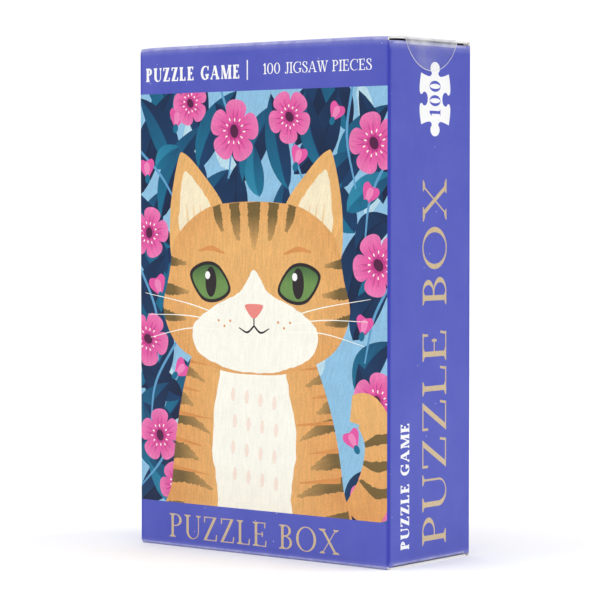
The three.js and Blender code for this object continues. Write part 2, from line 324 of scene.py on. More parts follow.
class Serif:
    """Plain roman capitals and figures, drawn from stems, bars and bowls. A capital is 1 high."""

    def __init__(self, stem, hair, overhang=0.09, stretch=1.0):
        self.stem, self.hair, self.overhang, self.stretch = stem, hair, overhang, stretch

    def foot(self, x, y, width, way=1):
        """A bracketed serif under (way 1) or over (way -1) a stem of that width centred on x."""
        half, reach, hair = width / 2, width / 2 + self.overhang, self.hair * way
        return np.array(
            [(x - reach, y), (x + reach, y), (x + reach, y + 0.8 * hair),
             (x + half, y + 2.2 * hair), (x - half, y + 2.2 * hair), (x - reach, y + 0.8 * hair)]
        )

    def post(self, x, low=0.0, high=1.0, width=None, feet="both"):
        width = width or self.stem
        shapes = [rectangle(x - width / 2, low, x + width / 2, high)]
        if feet in ("both", "low"):
            shapes.append(self.foot(x, low, width))
        if feet in ("both", "high"):
            shapes.append(self.foot(x, high, width, -1))
        return shapes

    def slant(self, x0, y0, x1, y1, width):
        half = width / 2
        return np.array([(x0 - half, y0), (x0 + half, y0), (x1 + half, y1), (x1 - half, y1)])

    def bowl(self, cx, cy, rx, ry, start, end, left=None, right=None):
        """Part of a round stroke: thick at its sides, thin at its top and bottom."""
        left, right = left or self.stem, right or self.stem
        inner_rx = rx - (left + right) / 2
        outer = ellipse(cx, cy, rx, ry, start=start, end=end - 1e-3, points=30)
        inner = ellipse(
            cx + (left - right) / 2, cy, inner_rx, ry - self.hair,
            start=start, end=end - 1e-3, points=30,
        )
        return np.vstack([outer, inner[::-1]])

    def beak(self, x, y, tall, lean=0.0):
        """The small upright tick that ends an arm."""
        return self.slant(x, y, x + lean, y + tall, 1.2 * self.hair)

    def glyph(self, letter):
        """The shapes of a character and how far it moves the pen."""
        s, h, o = self.stem, self.hair, self.overhang
        x = o + s / 2
        if letter == "I":
            return self.post(x), 2 * o + s
        if letter == "L":
            arm = [rectangle(x, 0, 0.58, h), self.beak(0.58 - h, 0, 0.26, 0.03)]
            return self.post(x) + arm, 0.62
        if letter == "E":
            arms = [rectangle(x, y, r, y + h) for y, r in ((0, 0.6), (0.49, 0.46), (1 - h, 0.57))]
            ticks = [self.beak(0.6 - h, 0, 0.25, 0.03), self.beak(0.57 - h, 0.77, 0.23),
                     self.beak(0.46 - h, 0.41, 0.2)]
            return self.post(x) + arms + ticks, 0.64
        if letter == "P":
            cy, ry, rx = 0.735, 0.265, 0.3
            bowl = self.bowl(x + 0.12, cy, rx, ry, -90, 90)
            arms = [rectangle(x, 1 - h, x + 0.13, 1), rectangle(x, cy - ry, x + 0.13, cy - ry + h)]
            return self.post(x) + [bowl] + arms, x + 0.12 + rx + 0.04
        if letter == "B":
            shapes = self.post(x)
            for cy, ry, rx in ((0.765, 0.235, 0.25), (0.275, 0.275, 0.3)):
                shapes.append(self.bowl(x + 0.12, cy, rx, ry, -90, 90))
                shapes += [rectangle(x, y, x + 0.13, y + h) for y in (cy - ry, cy + ry - h)]
            return shapes, x + 0.12 + 0.3 + 0.05
        if letter == "O":
            return [self.bowl(0.46, 0.5, 0.43, 0.515, 0, 360)], 0.92
        if letter == "X":
            left, right = o + s / 2, 0.72
            shapes = [self.slant(right, 0, left, 1, s), self.slant(left, 0, right, 1, h)]
            shapes += [self.foot(left, 1, s, -1), self.foot(right, 0, s)]
            return shapes + [self.foot(left, 0, h), self.foot(right, 1, h, -1)], right + s / 2 + o
        if letter == "U":
            far = x + 0.5
            cx, rx = (x - s / 2 + far + h / 2) / 2, (far + h / 2 - x + s / 2) / 2
            bowl = self.bowl(cx, 0.31, rx, 0.325, 180, 360, left=s, right=h)
            return (self.post(x, 0.3, 1, feet="high") + self.post(far, 0.3, 1, h, "high")
                    + [bowl]), far + h / 2 + o
        if letter == "J":
            stem_x = 0.3
            hook = ribbon(
                [(stem_x, 0.3), (stem_x - 0.01, 0.1), (stem_x - 0.1, -0.03), (0.09, 0.04)],
                [s, s * 0.9, s * 0.45, h],
            )
            ball = ellipse(0.09, 0.085, s * 0.48, points=14)
            return self.post(stem_x, 0.27, 1, feet="high") + [hook, ball], stem_x + s / 2 + o
        if letter in "CG":
            round_part = self.bowl(0.44, 0.5, 0.42, 0.515, 48, 312, right=h)
            tick = self.beak(0.72, 0.68, 0.31, 0.01)
            shapes = [round_part, tick]
            if letter == "C":
                return shapes, 0.8
            stem_x = 0.44 + 0.42 * math.cos(math.radians(48)) - s / 2 + 0.03
            return shapes + self.post(stem_x, 0.07, 0.42, feet="high"), 0.84
        if letter == "S":
            spine = ribbon(S_SPINE, [h, h, h, s * 0.7, s, s, s, s, s * 0.7, h, h, h])
            return [spine, self.beak(0.455, 0.7, 0.28), self.beak(0.065, 0.02, 0.29)], 0.58
        if letter == "Z":
            shapes = [rectangle(0.06, 1 - h, 0.62, 1), rectangle(0.04, 0, 0.62, h)]
            shapes.append(self.slant(0.04 + s / 2, 0, 0.62 - s / 2, 1, s * 1.15))
            return shapes + [self.beak(0.08, 0.76, 0.24), self.beak(0.6, 0, 0.26, 0.03)], 0.68
        if letter == "A":
            apex, left, right = 0.36, 0.07, 0.66
            shapes = [self.slant(left, 0, apex, 1, h), self.slant(right, 0, apex + s * 0.1, 1, s)]
            shapes.append(rectangle(left + 0.1, 0.31, right - 0.1, 0.31 + h))
            return shapes + [self.foot(left, 0, h), self.foot(right, 0, s)], 0.66 + s / 2 + o
        if letter == "M":
            left, far = o + h / 2 + 0.03, 0.84
            middle = (left + far) / 2
            shapes = self.post(left, width=h) + self.post(far)
            return shapes + [self.slant(middle, 0, left + s * 0.35, 1, s),
                             self.slant(middle, 0, far - s * 0.2, 1, h)], far + s / 2 + o
        if letter == "W":
            tops, feet_x = (0.08, 0.5, 0.92), (0.31, 0.72)
            shapes = [
                self.slant(feet_x[0], 0, tops[0] + 0.02, 1, s), self.slant(feet_x[0], 0, tops[1], 1, h),
                self.slant(feet_x[1], 0, tops[1] - 0.02, 1, s), self.slant(feet_x[1], 0, tops[2], 1, h),
            ]
            shapes += [self.foot(tops[0] + 0.02, 1, s, -1), self.foot(tops[1] - 0.02, 1, s, -1)]
            return shapes + [self.foot(tops[2], 1, h, -1)], 1.0
        if letter == "1":
            flag = np.array([(0.1, 0.78), (0.13, 0.86), (0.27, 1.0), (0.3, 0.94), (0.3, 0.84)])
            return self.post(0.3, feet="low") + [flag], 0.3 + s / 2 + o
        if letter == "0":
            return [self.bowl(0.32, 0.5, 0.3, 0.51, 0, 360)], 0.64
        if letter == " ":
            return [], 0.34
        raise ValueError(f"no glyph for {letter!r}")


def lettering(text, height, face, spacing=0.06):
    """The outlines of a line of text in millimetres, from x = 0, and the line's width."""
    pen, outlines = 0.0, []
    for letter in text:
        shapes, advance = face.glyph(letter)
        outlines += [(shape * (face.stretch, 1) + (pen, 0)) * height for shape in shapes]
        pen += advance * face.stretch + spacing
    return outlines, (pen - spacing) * height


TITLE_FACE = Serif(stem=0.108, hair=0.042, stretch=1.22)
SMALL_FACE = Serif(stem=0.12, hair=0.05, stretch=1.2)
BOLD_FACE = Serif(stem=0.23, hair=0.085, overhang=0.05)
FIGURE_FACE = Serif(stem=0.165, hair=0.034)


def text_layers(ink, text, height, face, x, y, turn=0.0, spacing=0.06, width=None):
    """Layers for a line of text that starts at a point. width sets the spacing from a length."""
    if width is not None:
        natural = lettering(text, height, face, 0)[1]
        spacing = (width - natural) / height / (len(text) - 1)
    outlines, _ = lettering(text, height, face, spacing)
    return [Layer(ink, moved(o, x, y, turn=turn), brush=0, clip=False) for o in outlines]


# ---------------------------------------------------------------- the picture: leaves and flowers

LEAF_SHADES = {"navy": "ocean", "ocean": "navy", "teal": "ocean", "teal_light": "teal"}
LEAF_PAIRS = (("navy", "ocean"), ("ocean", "teal"), ("navy", "teal"), ("teal", "teal_light"))

# base, tip, width, bow and colour pair of each leaf
LEAVES = (
    ((-45, 98), (-31, 128), 9, 2, 0), ((-30, 104), (-44, 126), 8, -2, 1), ((-36, 92), (-20, 118), 8, 3, 2),
    ((-22, 106), (-8, 127), 8, 2, 1), ((-4, 103), (-16, 124), 7, -2, 0), ((-6, 102), (8, 124), 8, 2, 2),
    ((10, 100), (4, 126), 7, 1, 1), ((12, 104), (27, 127), 9, -3, 0), ((24, 104), (16, 127), 7, 2, 2),
    ((28, 100), (44, 122), 9, 3, 1), ((42, 96), (34, 126), 8, -2, 0), ((30, 94), (45, 104), 7, 1, 3),
    ((-32, 84), (-46, 100), 8, 2, 2), ((-34, 76), (-45, 90), 7, -1, 1), ((33, 84), (46, 92), 8, 2, 0),
    ((-44, 62), (-34, 82), 8, 2, 0), ((-33, 58), (-46, 74), 8, 2, 1), ((34, 70), (45, 84), 8, -2, 2),
    ((32, 60), (44, 74), 8, 2, 0), ((-44, 44), (-32, 62), 8, -2, 2), ((-28, 42), (-44, 54), 8, 2, 0),
    ((-45, 28), (-33, 46), 9, 2, 1), ((-26, 28), (-43, 40), 8, 2, 2), ((-44, 12), (-30, 30), 9, -2, 0),
    ((-24, 14), (-41, 24), 8, 2, 3), ((33, 46), (45, 60), 8, 2, 1), ((45, 36), (34, 54), 8, 2, 0),
    ((36, 22), (46, 40), 8, -2, 2), ((30, 12), (44, 26), 9, 2, 0), ((45, 10), (35, 26), 7, -1, 1),
    ((0, 98), (-2, 112), 6, 1, 3), ((-38, 106), (-29, 112), 5, 1, 3), ((20, 98), (33, 110), 7, 1, 1),
)

STEMS = (
    ((-45, 112), (-36, 104), (-30, 96)), ((-14, 128), (-10, 116), (-11, 103)),
    ((32, 128), (30, 114), (33, 100)), ((45, 110), (38, 98), (36, 86)), ((-45, 80), (-38, 66), (-37, 52)),
    ((-30, 58), (-38, 46), (-40, 34)), ((-30, 34), (-36, 24), (-44, 16)), ((45, 52), (38, 44), (40, 30)),
    ((45, 76), (39, 66), (36, 54)), ((14, 126), (12, 112), (16, 100)),
)

# place, size and turn of each bud
BUDS = (
    (-30.5, 117, 6, 80), (12.5, 106, 6, 70), (36, 96, 6, 60), (-36, 70, 6.5, 110), (-31, 48, 6, 40),
    (35, 61, 6, 75), (-41, 103, 6, 95), (33.5, 31, 6, 120), (25, 118, 5.5, 60),
)

# place, radius and turn of each flower
FLOWERS = (
    (-9, 116, 8.6, 12), (10.5, 119.5, 7.2, 50), (39, 112, 8.2, 30), (-40.5, 88, 7.2, 5), (40.5, 80, 8.4, 44),
    (-41, 58, 7.6, 60), (-36.5, 31, 7.4, 20), (40, 44, 7.8, 8), (38.5, 18.5, 7.2, 35), (-30, 17.5, 6.6, 48),
    (-25, 124, 6.2, 33),
)


def leaf(base, tip, width, bow, pair):
    """A long two-tone leaf with a thin midrib. Each half changes colour towards the tip."""
    base, tip = np.array(base, float), np.array(tip, float)
    reach = tip - base
    length = np.linalg.norm(reach)
    across = np.array([-reach[1], reach[0]]) / length
    t = np.linspace(0, 1, 15)[:, None]
    rib = base + reach * t + across * bow * 4 * t * (1 - t)
    half = width / 2 * np.sin(np.pi * t ** 0.85) ** 0.8
    left, right = rib + across * half, rib - across * half
    grain = math.degrees(math.atan2(reach[1], reach[0]))

    def towards_tip(point):
        return 0.9 * (np.asarray(point) - base).dot(reach) / length ** 2 - 0.1

    dark, light = pair
    vein = ribbon(rib[1:-1:3], [0.45, 0.35, 0.1], steps=3)
    return [
        Layer(dark, np.vstack([left, right[::-1]]), grain, 1.4, (LEAF_SHADES[dark], towards_tip)),
        Layer(light, np.vstack([rib, left[::-1]]), grain + 14, 1.5, (LEAF_SHADES[light], towards_tip)),
        Layer(LEAF_SHADES[light], vein, grain, 0.5),
    ]


def petal_outline(length, width, notch):
    """A petal that points along +x from its root at the origin."""
    edge = np.array([(0.22, 0.2), (0.5, 0.42), (0.76, 0.5), (0.95, 0.33)])
    unit = np.vstack([[(0, 0)], edge, [(1 - notch, 0)], edge[::-1] * (1, -1)])
    return smooth(unit * (length, width), steps=3)


def flower(x, y, radius, turn):
    """A five-petalled flower with a dark middle, a ring of stamens and brushed petals."""
    layers = []
    petal = petal_outline(radius, radius * 0.86, -0.01)
    path = np.array([(0.3, 0), (0.5, 0.01), (0.7, 0)]) * radius
    streak = ribbon(path, [0.1, 0.34, 0.1], steps=3)
    throat = smooth([(0.2, 0), (0.34, 0.06), (0.2, 0.12)], steps=2) * radius

    def rim(point):
        return (math.hypot(*point) / radius - 0.45) * 1.3

    for angle in range(turn, turn + 360, 72):
        layers.append(Layer("pink", moved(petal, turn=angle), angle, 1.7, ("pink_light", rim)))
        for side in (angle - 9, angle + 9):
            layers.append(Layer("pink_deep", moved(streak, turn=side), side, 0.8))
    for angle in range(turn, turn + 360, 36):
        layers.append(Layer("pink_deep", moved(throat, turn=angle), 0, 0.8))
    layers.append(Layer("pink_deep", ellipse(0, 0, 0.27 * radius, points=20), 0, 0.8))
    layers.append(Layer("plum", ellipse(0, 0, 0.17 * radius, 0.22 * radius, turn=turn, points=18), 0, 0.8))
    for k in range(12):
        angle, near = turn + 30 * k + 15, 0.36 if k % 2 else 0.31
        stamen = ribbon([(near * radius, 0), ((near + 0.1) * radius, 0)], [0.3, 0.42], curved=False)
        layers.append(Layer("cream", moved(stamen, turn=angle), angle, 0))
    return placed(layers, x, y)


def bud(x, y, size, turn):
    """A closed flower on the end of a stem."""
    cup = petal_outline(size, size * 0.95, 0.14)
    inner = petal_outline(size * 0.8, size * 0.36, 0.0)
    base = ellipse(0.02 * size, 0, 0.22 * size, 0.16 * size, points=12)
    return [
        Layer("pink", moved(cup, x, y, turn=turn), turn, 1.2),
        Layer("pink_light", moved(inner, x, y, turn=turn), turn, 1.0),
        Layer("teal", moved(base, x, y, turn=turn)),
    ]


def background():
    """Light sky patches, crossing leaves, stems, flowers and buds behind the cat."""
    edge = WIDTH_MM / 2 + 1
    layers = [Layer("sky", rectangle(-edge, PICTURE_LOW - 1, edge, PICTURE_HIGH + 1), 70, 1.6)]
    draw = random.Random(11)
    for _ in range(26):
        x, y = draw.uniform(-42, 42), draw.uniform(16, 124)
        rx, ry, turn = draw.uniform(2, 5), draw.uniform(4, 9), draw.uniform(-40, 40)
        patch = ragged(ellipse(x, y, rx, ry, turn, points=16), 0.35, len(layers))
        layers.append(Layer(draw.choice(["sky_light", "sky_deep"]), patch, 60, 1.6))
    for _ in range(44):
        x, y = draw.choice((-1, 1)) * draw.uniform(4, 44), draw.uniform(14, 120)
        lean, reach = math.radians(draw.uniform(50, 130)), draw.uniform(18, 26)
        tip = (x + reach * math.cos(lean), y + reach * math.sin(lean))
        width, bow = draw.uniform(8, 11), draw.uniform(-2, 2)
        layers += leaf((x, y), tip, width, bow, LEAF_PAIRS[draw.choice((0, 1, 2, 2))])
    for base, tip, width, bow, pair in LEAVES:
        layers += leaf(base, tip, 1.12 * width, bow, LEAF_PAIRS[pair])
    for path in STEMS:
        layers.append(Layer("sky_deep", ribbon(path, [0.8, 0.8, 0.48]), 90, 0.8))
    for spot in BUDS:
        layers += bud(*spot)
    for spot in FLOWERS:
        layers += flower(*spot)
    return layers


# ---------------------------------------------------------------- the picture: a tabby cat

CAT_X = -2.0  # the cat's middle line. The body's x is measured from there
HEAD_Y = 74.0  # the middle of the head, from where the head's y is measured
HEAD_SIZE = (33.0, 24.0)  # half its width and half its height
STRIPE_STEPS = 16

# height, length, rise and thickness of each pair of stripes on the body, and of each pair of hairlines
BODY_STRIPES = ((55, 11, 3, 4.2), (47, 15, 4, 3.4), (40, 11, 3, 4.6), (32.5, 17, 5, 3.6), (25, 13, 3, 4.8),
                (17, 18, 4, 3.8), (9.5, 13, 2, 4))
HAIRLINES = ((51, 14), (43.5, 10), (36, 15), (28.5, 11), (20.5, 14))


def both_sides(ink, outline, **options):
    """A layer and its mirror image on the other side of the middle line."""
    return [Layer(ink, shape, **options) for shape in (outline, outline * (-1, 1))]


def cat_tail():
    tail = ribbon([(36, 12), (42, 22), (43.5, 33), (39, 41), (33.5, 42)], [12, 12, 11, 10, 7], steps=8)
    layers = [Layer("fur", tail, 100, 1.6, ("fur_deep", lambda p: (40 - p[1]) / 40))]
    for y, lean in ((20, 3), (27, 1), (34, -2)):
        band = ribbon([(36.5, y + lean), (42, y), (48, y + 1)], [0.8, 2.8, 2.2])
        layers.append(Layer("stripe", ragged(band, 0.2, y), 10, 1.4, within=tail))
    return layers


def cat_body():
    """The body with its stripes and hairlines, and a cream chest with small tufts."""
    body = smooth([(-17, 62), (-24, 50), (-28, 34), (-30, 18), (-31, 8), (0, 6), (32, 8), (31, 20), (28, 36),
                   (23, 50), (16, 62), (0, 66)])
    layers = [Layer("fur", body, 90, 1.8, ("fur_deep", lambda p: abs(p[0]) / 34 - 0.25))]
    for y, reach, rise, thick in BODY_STRIPES:
        fade = ("fur", lambda p, reach=reach: 0.9 * (33 - abs(p[0])) / reach - 0.35)
        for way in (-1, 1):
            band = ribbon([(way * 33, y + rise + way), (way * (33 - 0.55 * reach), y + rise * 0.7),
                           (way * (33 - reach), y)], [thick, thick * 0.9, 0.5], STRIPE_STEPS)
            band = ragged(band, 0.26, int(y) + way)
            layers.append(Layer("stripe", band, 15 * way, 1.8, fade, within=body))
    for k, (y, reach) in enumerate(HAIRLINES):
        for way in (-1, 1):
            hairline = ribbon([(way * 30, y + 2), (way * (30 - reach), y + 0.5)], [1.5, 0.3], curved=False)
            layers.append(Layer("fur_deep", ragged(hairline, 0.15, k), 15 * way, 1.6, within=body))
    chest = smooth([(-9, 60), (-13, 46), (-15, 30), (-13, 16), (-12, 8), (12, 8), (13, 18), (15, 32),
                    (12, 47), (8, 60)])
    layers.append(Layer("cream", ragged(chest, 0.3, 5), 90, 0.8, ("cream_warm", lambda p: (26 - p[1]) / 60)))
    for row in range(4):
        for place in range(4):
            x, y = -7.6 + place * 4.9 + 0.6 * (row % 2), 42 - row * 7.3 - 0.6 * place
            tuft = ribbon([(x + 0.2, y + 3.6), (x + 0.1, y + 1.8), (x, y)], [0.7, 1.6, 0.8])
            layers.append(Layer("blush", tuft, 90, 0.4))
    return layers


def cat_head():
    ear = smooth([(-29.5, 6), (-30.5, 20), (-27.5, 34.5), (-25, 36), (-19, 31), (-11, 21.5), (-13, 14),
                  (-22, 8)], steps=8)
    inner = smooth([(-26.5, 14), (-26.8, 24), (-25, 31), (-20, 27), (-15, 20), (-18, 15)], steps=8)
    face = symmetric([(-7, 22.5), (-18, 20.5), (-28, 13), (-31, 2), (-33, -8), (-27, -18), (-13, -23.5),
                      (0, -24.5)], steps=8)
    muzzle = symmetric([(0, 4), (-5, -2), (-15, -6.5), (-22, -12), (-20, -19), (-10, -23), (0, -24)], steps=8)

    def cheek(p):
        return 0.9 * (math.hypot(p[0] / HEAD_SIZE[0], p[1] / HEAD_SIZE[1]) - 0.55)

    layers = both_sides("fur", ear, grain=70, brush=1.6)
    layers += both_sides("cream_warm", ragged(inner, 0.2, 3), grain=75, brush=1.2)
    for lean in (-1.5, 1.0, 3.5):
        hair = ribbon([(-22 + lean, 15), (-23 + lean, 22)], [0.9, 0.2], curved=False)
        layers += both_sides("fur_light", hair, grain=80, brush=0.8)
    layers.append(Layer("fur", face, 90, 1.8, ("fur_deep", cheek)))
    layers.append(Layer("cream", ragged(muzzle, 0.15, 8), 80, 0.8))
    return layers + head_stripes(face) + cat_face()


def head_stripes(face):
    """Dark tabby marks inside the face that fade inwards: five on the forehead, three on each cheek."""
    downwards = ("fur", lambda p: 0.09 * (19 - p[1]))
    inwards = ("fur", lambda p: 0.12 * (29 - abs(p[0])))
    middle = ribbon([(0, 22.6), (0, 16), (0, 9.5)], [4.6, 3.8, 1.2], STRIPE_STEPS)
    marks = [Layer("stripe", ragged(middle, 0.22, 1), 90, 1.8, downwards)]
    for x, top, low, lean, width in ((7, 22.5, 12, 1.4, 3.6), (13.5, 21.6, 14.5, 2.2, 2.8)):
        mark = ribbon([(-x, top), (-x + lean * 0.4, (top + low) / 2), (-x + lean, low)],
                      [width, width * 0.9, 1.1], STRIPE_STEPS)
        marks += both_sides("stripe", ragged(mark, 0.22, int(x)), grain=85, brush=1.8, shade=downwards)
    for y, reach, width in ((5.5, 8.5, 3.2), (-2.5, 9.5, 3.4), (-10, 8.5, 3.0)):
        mark = ribbon([(-34, y + 1.5), (-30, y + 0.6), (-33 + reach, y)], [width, width * 0.9, 0.8],
                      STRIPE_STEPS)
        marks += both_sides("stripe", ragged(mark, 0.22, int(y + 20)), grain=5, brush=1.8, shade=inwards,
                            within=face)
    return marks


def cat_eye(side):
    """An almond eye with an upright pupil and a glint, under a brow. side is -1 or 1."""
    eye = (side * 15.5, 0.5)
    almond = smooth([(-6.3, -1.5), (-2.5, 3.9), (2.6, 4.6), (6.8, 1.8), (3.0, -3.9), (-2.4, -4.4)], steps=8)
    almond = almond * (side, 1)
    brow = ribbon([(side * -5, 8.0), (0, 9.4), (side * 4.5, 8.6)], [0.5, 1.5, 0.4])
    return placed([
        Layer("ink", almond * (1.14, 1.2), 0, 0.5),
        Layer("eye", almond, 90, 1.4, ("eye_deep", lambda p: p[1] / 5)),
        Layer("ink", ellipse(0, 0.1, 2.0, 4.2, points=24), 0, 0.3),
        Layer("white", ellipse(-1.2, 1.9, 0.9, 1.1, points=14), 0, 0),
        Layer("fur_deep", brow, 0, 1.2),
    ], *eye)


def cat_face():
    """Eyes, a small nose, a mouth and whiskers."""
    nose = symmetric([(0, -5.2), (-3.2, -5.6), (-1.8, -8), (0, -9.2)])
    layers = cat_eye(-1) + cat_eye(1) + [Layer("nose", nose, 0, 0.8)]
    layers.append(Layer("ink", ribbon([(0, -9.1), (0, -11.4)], [0.45, 0.45], curved=False), 0, 0))
    for side in (-1, 1):
        lip = ribbon([(0, -11.2), (side * 2.4, -13.0), (side * 5.4, -11.8)], [0.5, 0.6, 0.3])
        layers.append(Layer("ink", lip, 0, 0))
        for k, (y, tip) in enumerate(((-8.5, -3), (-10.5, -9), (-12.5, -15.5))):
            path = [(side * 12, y), (side * 24, y + (tip - y) * 0.35 + 1), (side * (40 - k), tip)]
            layers.append(Layer("cream", ribbon(path, [0.34, 0.3, 0.12]), 0, 0))
        for k in range(3):
            spot = ellipse(side * (8.5 + 2.1 * k), -10 - 1.5 * (k % 2), 0.38, points=8)
            layers.append(Layer("fur_deep", spot, 0, 0))
    return layers


def picture():
    return background() + placed(cat_tail() + cat_body(), CAT_X, 0) + placed(cat_head(), CAT_X, HEAD_Y)


# ---------------------------------------------------------------- the printed badge

# one quarter of the jigsaw piece: the notch, the long side as far as the corner, and the short side
NOTCH = (0, -4.75, 1.85, 1.45)
LONG_SIDE = ((1.16, -6.3), (1.5, -6.75), (2.6, -7.0), (4.6, -6.8), (6.85, -6.3))
SHORT_SIDE = ((6.85, -6.3), (6.35, -4.6), (6.05, -3.1), (6.1, -2.1), (6.7, -1.5), (7.15, -1.6))
KNOB = (8.15, 0, 1.75, 2.1)
FIGURE_HEIGHT, FIGURE_SPACING = 4.9, 0.14


def badge(cx, cy, turn):
    """A white jigsaw piece with a number on it."""
    quarter = np.vstack([
        ellipse(*NOTCH, start=90, end=-50, points=14),
        smooth(LONG_SIDE, closed=False),
        smooth(SHORT_SIDE, closed=False)[1:],
        ellipse(*KNOB, start=-118, end=0, points=14),
    ])
    half = np.vstack([quarter, (quarter * (1, -1))[-2::-1]])
    outline = np.vstack([half, (half * (-1, 1))[-2:0:-1]])
    layers = [Layer("white", moved(outline, cx, cy, turn=turn), brush=0, clip=False)]
    _, width = lettering("100", FIGURE_HEIGHT, FIGURE_FACE, FIGURE_SPACING)
    spot = moved([(-width / 2, -FIGURE_HEIGHT / 2)], cx, cy, turn=turn)[0]
    return layers + text_layers("violet", "100", FIGURE_HEIGHT, FIGURE_FACE, *spot, turn, FIGURE_SPACING)


# ---------------------------------------------------------------- print layouts of the walls

def front_layers(half_width):
    """The picture, the two lines of text above it and the title under it."""
    text_y = PICTURE_HIGH + 3.45
    window = rectangle(-half_width, PICTURE_LOW, half_width - 0.45, PICTURE_HIGH)
    layers = picture()
    layers += text_layers("white", "PUZZLE GAME", 3.8, BOLD_FACE, -41.5, text_y, width=34.5)
    layers.append(Layer("white", rectangle(-4.5, text_y - 0.5, -4.1, text_y + 4.9), brush=0, clip=False))
    layers += text_layers("white", "100 JIGSAW PIECES", 2.95, SMALL_FACE, 0.9, text_y + 0.85, width=37.5)
    layers += text_layers("gold", "PUZZLE BOX", 6.6, TITLE_FACE, -33, 2.6, width=60.6)
    return layers, window


def side_layers(middle):
    """A badge at the top and the title and a line of small text, both reading upwards."""
    layers = badge(middle + 1.85, HEIGHT_MM - 16.0, 90)
    layers += text_layers("gold", "PUZZLE BOX", 10.8, TITLE_FACE, middle + 7.2, 4.8, turn=90, width=98)
    layers += text_layers("white", "PUZZLE GAME", 3.8, BOLD_FACE, middle - 9.5, 4.7, turn=90, width=33.5)
    return layers


def back_layers():
    """A small copy of the picture in a white border, with the title over it."""
    scale, base, border = 0.62, 26.0, 1
    window = rectangle(-27.3, base, 27.3, base + 72)
    frame_line = rectangle(-27.3 - border, base - border, 27.3 + border, base + 72 + border)
    layers = [Layer("white", frame_line, clip=False)]
    layers += placed(picture(), 0, base - PICTURE_LOW * scale, scale)
    layers += text_layers("gold", "PUZZLE BOX", 6.3, TITLE_FACE, -31, 108.5, width=62)
    layers += text_layers("white", "100 JIGSAW PIECES", 3.0, SMALL_FACE, -20, 14.5, width=40)
    return layers, window


# ---------------------------------------------------------------- materials

BLACK, WHITE = (0, 0, 0), (1, 1, 1)


class Nodes:
    """Short ways to add nodes to a new material, or to the world."""

    def __init__(self, owner):
        owner.use_nodes = True
        self.owner = owner
        self.tree = owner.node_tree
        self.shader = self.tree.nodes.get("Principled BSDF")

    def fill(self, node, values):
        """Gives a node's inputs their values. A value may also be another node's output."""
        for name, value in values.items():
            if isinstance(value, bpy.types.NodeSocket):
                self.tree.links.new(value, node.inputs[name])
            else:
                node.inputs[name].default_value = value

    def add(self, kind, values=None, **settings):
        node = self.tree.nodes.new("ShaderNode" + kind)
        for name, value in settings.items():
            setattr(node, name, value)
        self.fill(node, values or {})
        return node

    def attribute(self, name, output="Fac"):
        """What the mesh stores under that name."""
        return self.add("Attribute", attribute_name=name).outputs[output]

    def place(self):
        return self.add("TexCoord").outputs["Object"]

    def noise(self, scale, detail, vector=None, roughness=0.55):
        """A noise texture, in object coordinates unless told otherwise. scale is in marks per metre."""
        if vector is None:
            vector = self.place()
        values = {"Scale": scale, "Detail": detail, "Roughness": roughness, "Vector": vector}
        return self.add("TexNoise", values).outputs["Fac"]

    def remap(self, value, low, high, to_low, to_high):
        values = {"Value": value, "From Min": low, "From Max": high, "To Min": to_low, "To Max": to_high}
        return self.add("MapRange", values).outputs["Result"]

    def cloud(self, scale, detail, to_low=0.0, to_high=1.0, low=0.3, high=0.7, **options):
        """Noise that runs from to_low to to_high."""
        return self.remap(self.noise(scale, detail, **options), low, high, to_low, to_high)

    def blend(self, factor, a, b, mode="MIX"):
        """Mixes two colours. Each may be an output or a linear colour."""
        a, b = (colour if isinstance(colour, bpy.types.NodeSocket) else (*colour, 1) for colour in (a, b))
        mixer = self.add("Mix", data_type="RGBA", blend_type=mode)
        self.fill(mixer, {0: factor, 6: a, 7: b})
        return mixer.outputs[2]

    def bump(self, scale, detail, strength, distance=0.00012):
        """Fine relief from noise."""
        values = {"Strength": strength, "Distance": distance, "Height": self.noise(scale, detail)}
        self.fill(self.shader, {"Normal": self.add("Bump", values).outputs["Normal"]})


def new_material(name):
    return Nodes(bpy.data.materials.new(name))


def add_print_coat(nodes):
    """The satin coat over the print, a little uneven and with the tooth of the card in it."""
    nodes.fill(nodes.shader, {
        "Roughness": nodes.cloud(320, 5, 0.36, 0.46),
        "Specular IOR Level": 0.2,
        "Coat Weight": 0.07,
        "Coat Roughness": 0.2,
    })
    nodes.bump(1500, 4, 0.12)


def coated_card():
    """Violet print: faint mottle, paper tooth, specks of dust, painted shade in the upright folds, and rubbed
    edges with a painted highlight.
    """
    nodes = new_material("coated_card")
    violet = LINEAR_INKS["violet"]
    base = nodes.blend(nodes.cloud(90, 4), mix(violet, BLACK, 0.045), mix(violet, WHITE, 0.018))
    base = nodes.blend(nodes.cloud(2600, 2, 0.0, 0.10, 0.25, 0.75), base, mix(violet, BLACK, 0.22))
    specks = nodes.add("TexVoronoi", {"Scale": 260, "Vector": nodes.place()})
    dust = nodes.remap(specks.outputs["Distance"], 0.022, 0.05, 0.75, 0.0)
    base = nodes.blend(dust, base, linear((225, 225, 240)))
    # painted shade: the upright folds darkened towards a deeper violet
    base = nodes.blend(nodes.attribute("painted_fold_shade"), base, linear((56, 64, 180)))
    # rubbed print and painted highlight: lighter lavender along the top and bottom folds and the creases
    wear_and_highlight_inputs = {0: nodes.attribute("wear_and_highlight"), 1: nodes.cloud(420, 5, 0.55, 1.0)}
    wear_and_highlight_amount = nodes.add("Math", wear_and_highlight_inputs, operation="MULTIPLY")
    base = nodes.blend(wear_and_highlight_amount.outputs[0], base, linear((214, 214, 240)))
    nodes.fill(nodes.shader, {"Base Color": base})
    add_print_coat(nodes)
    return nodes.owner


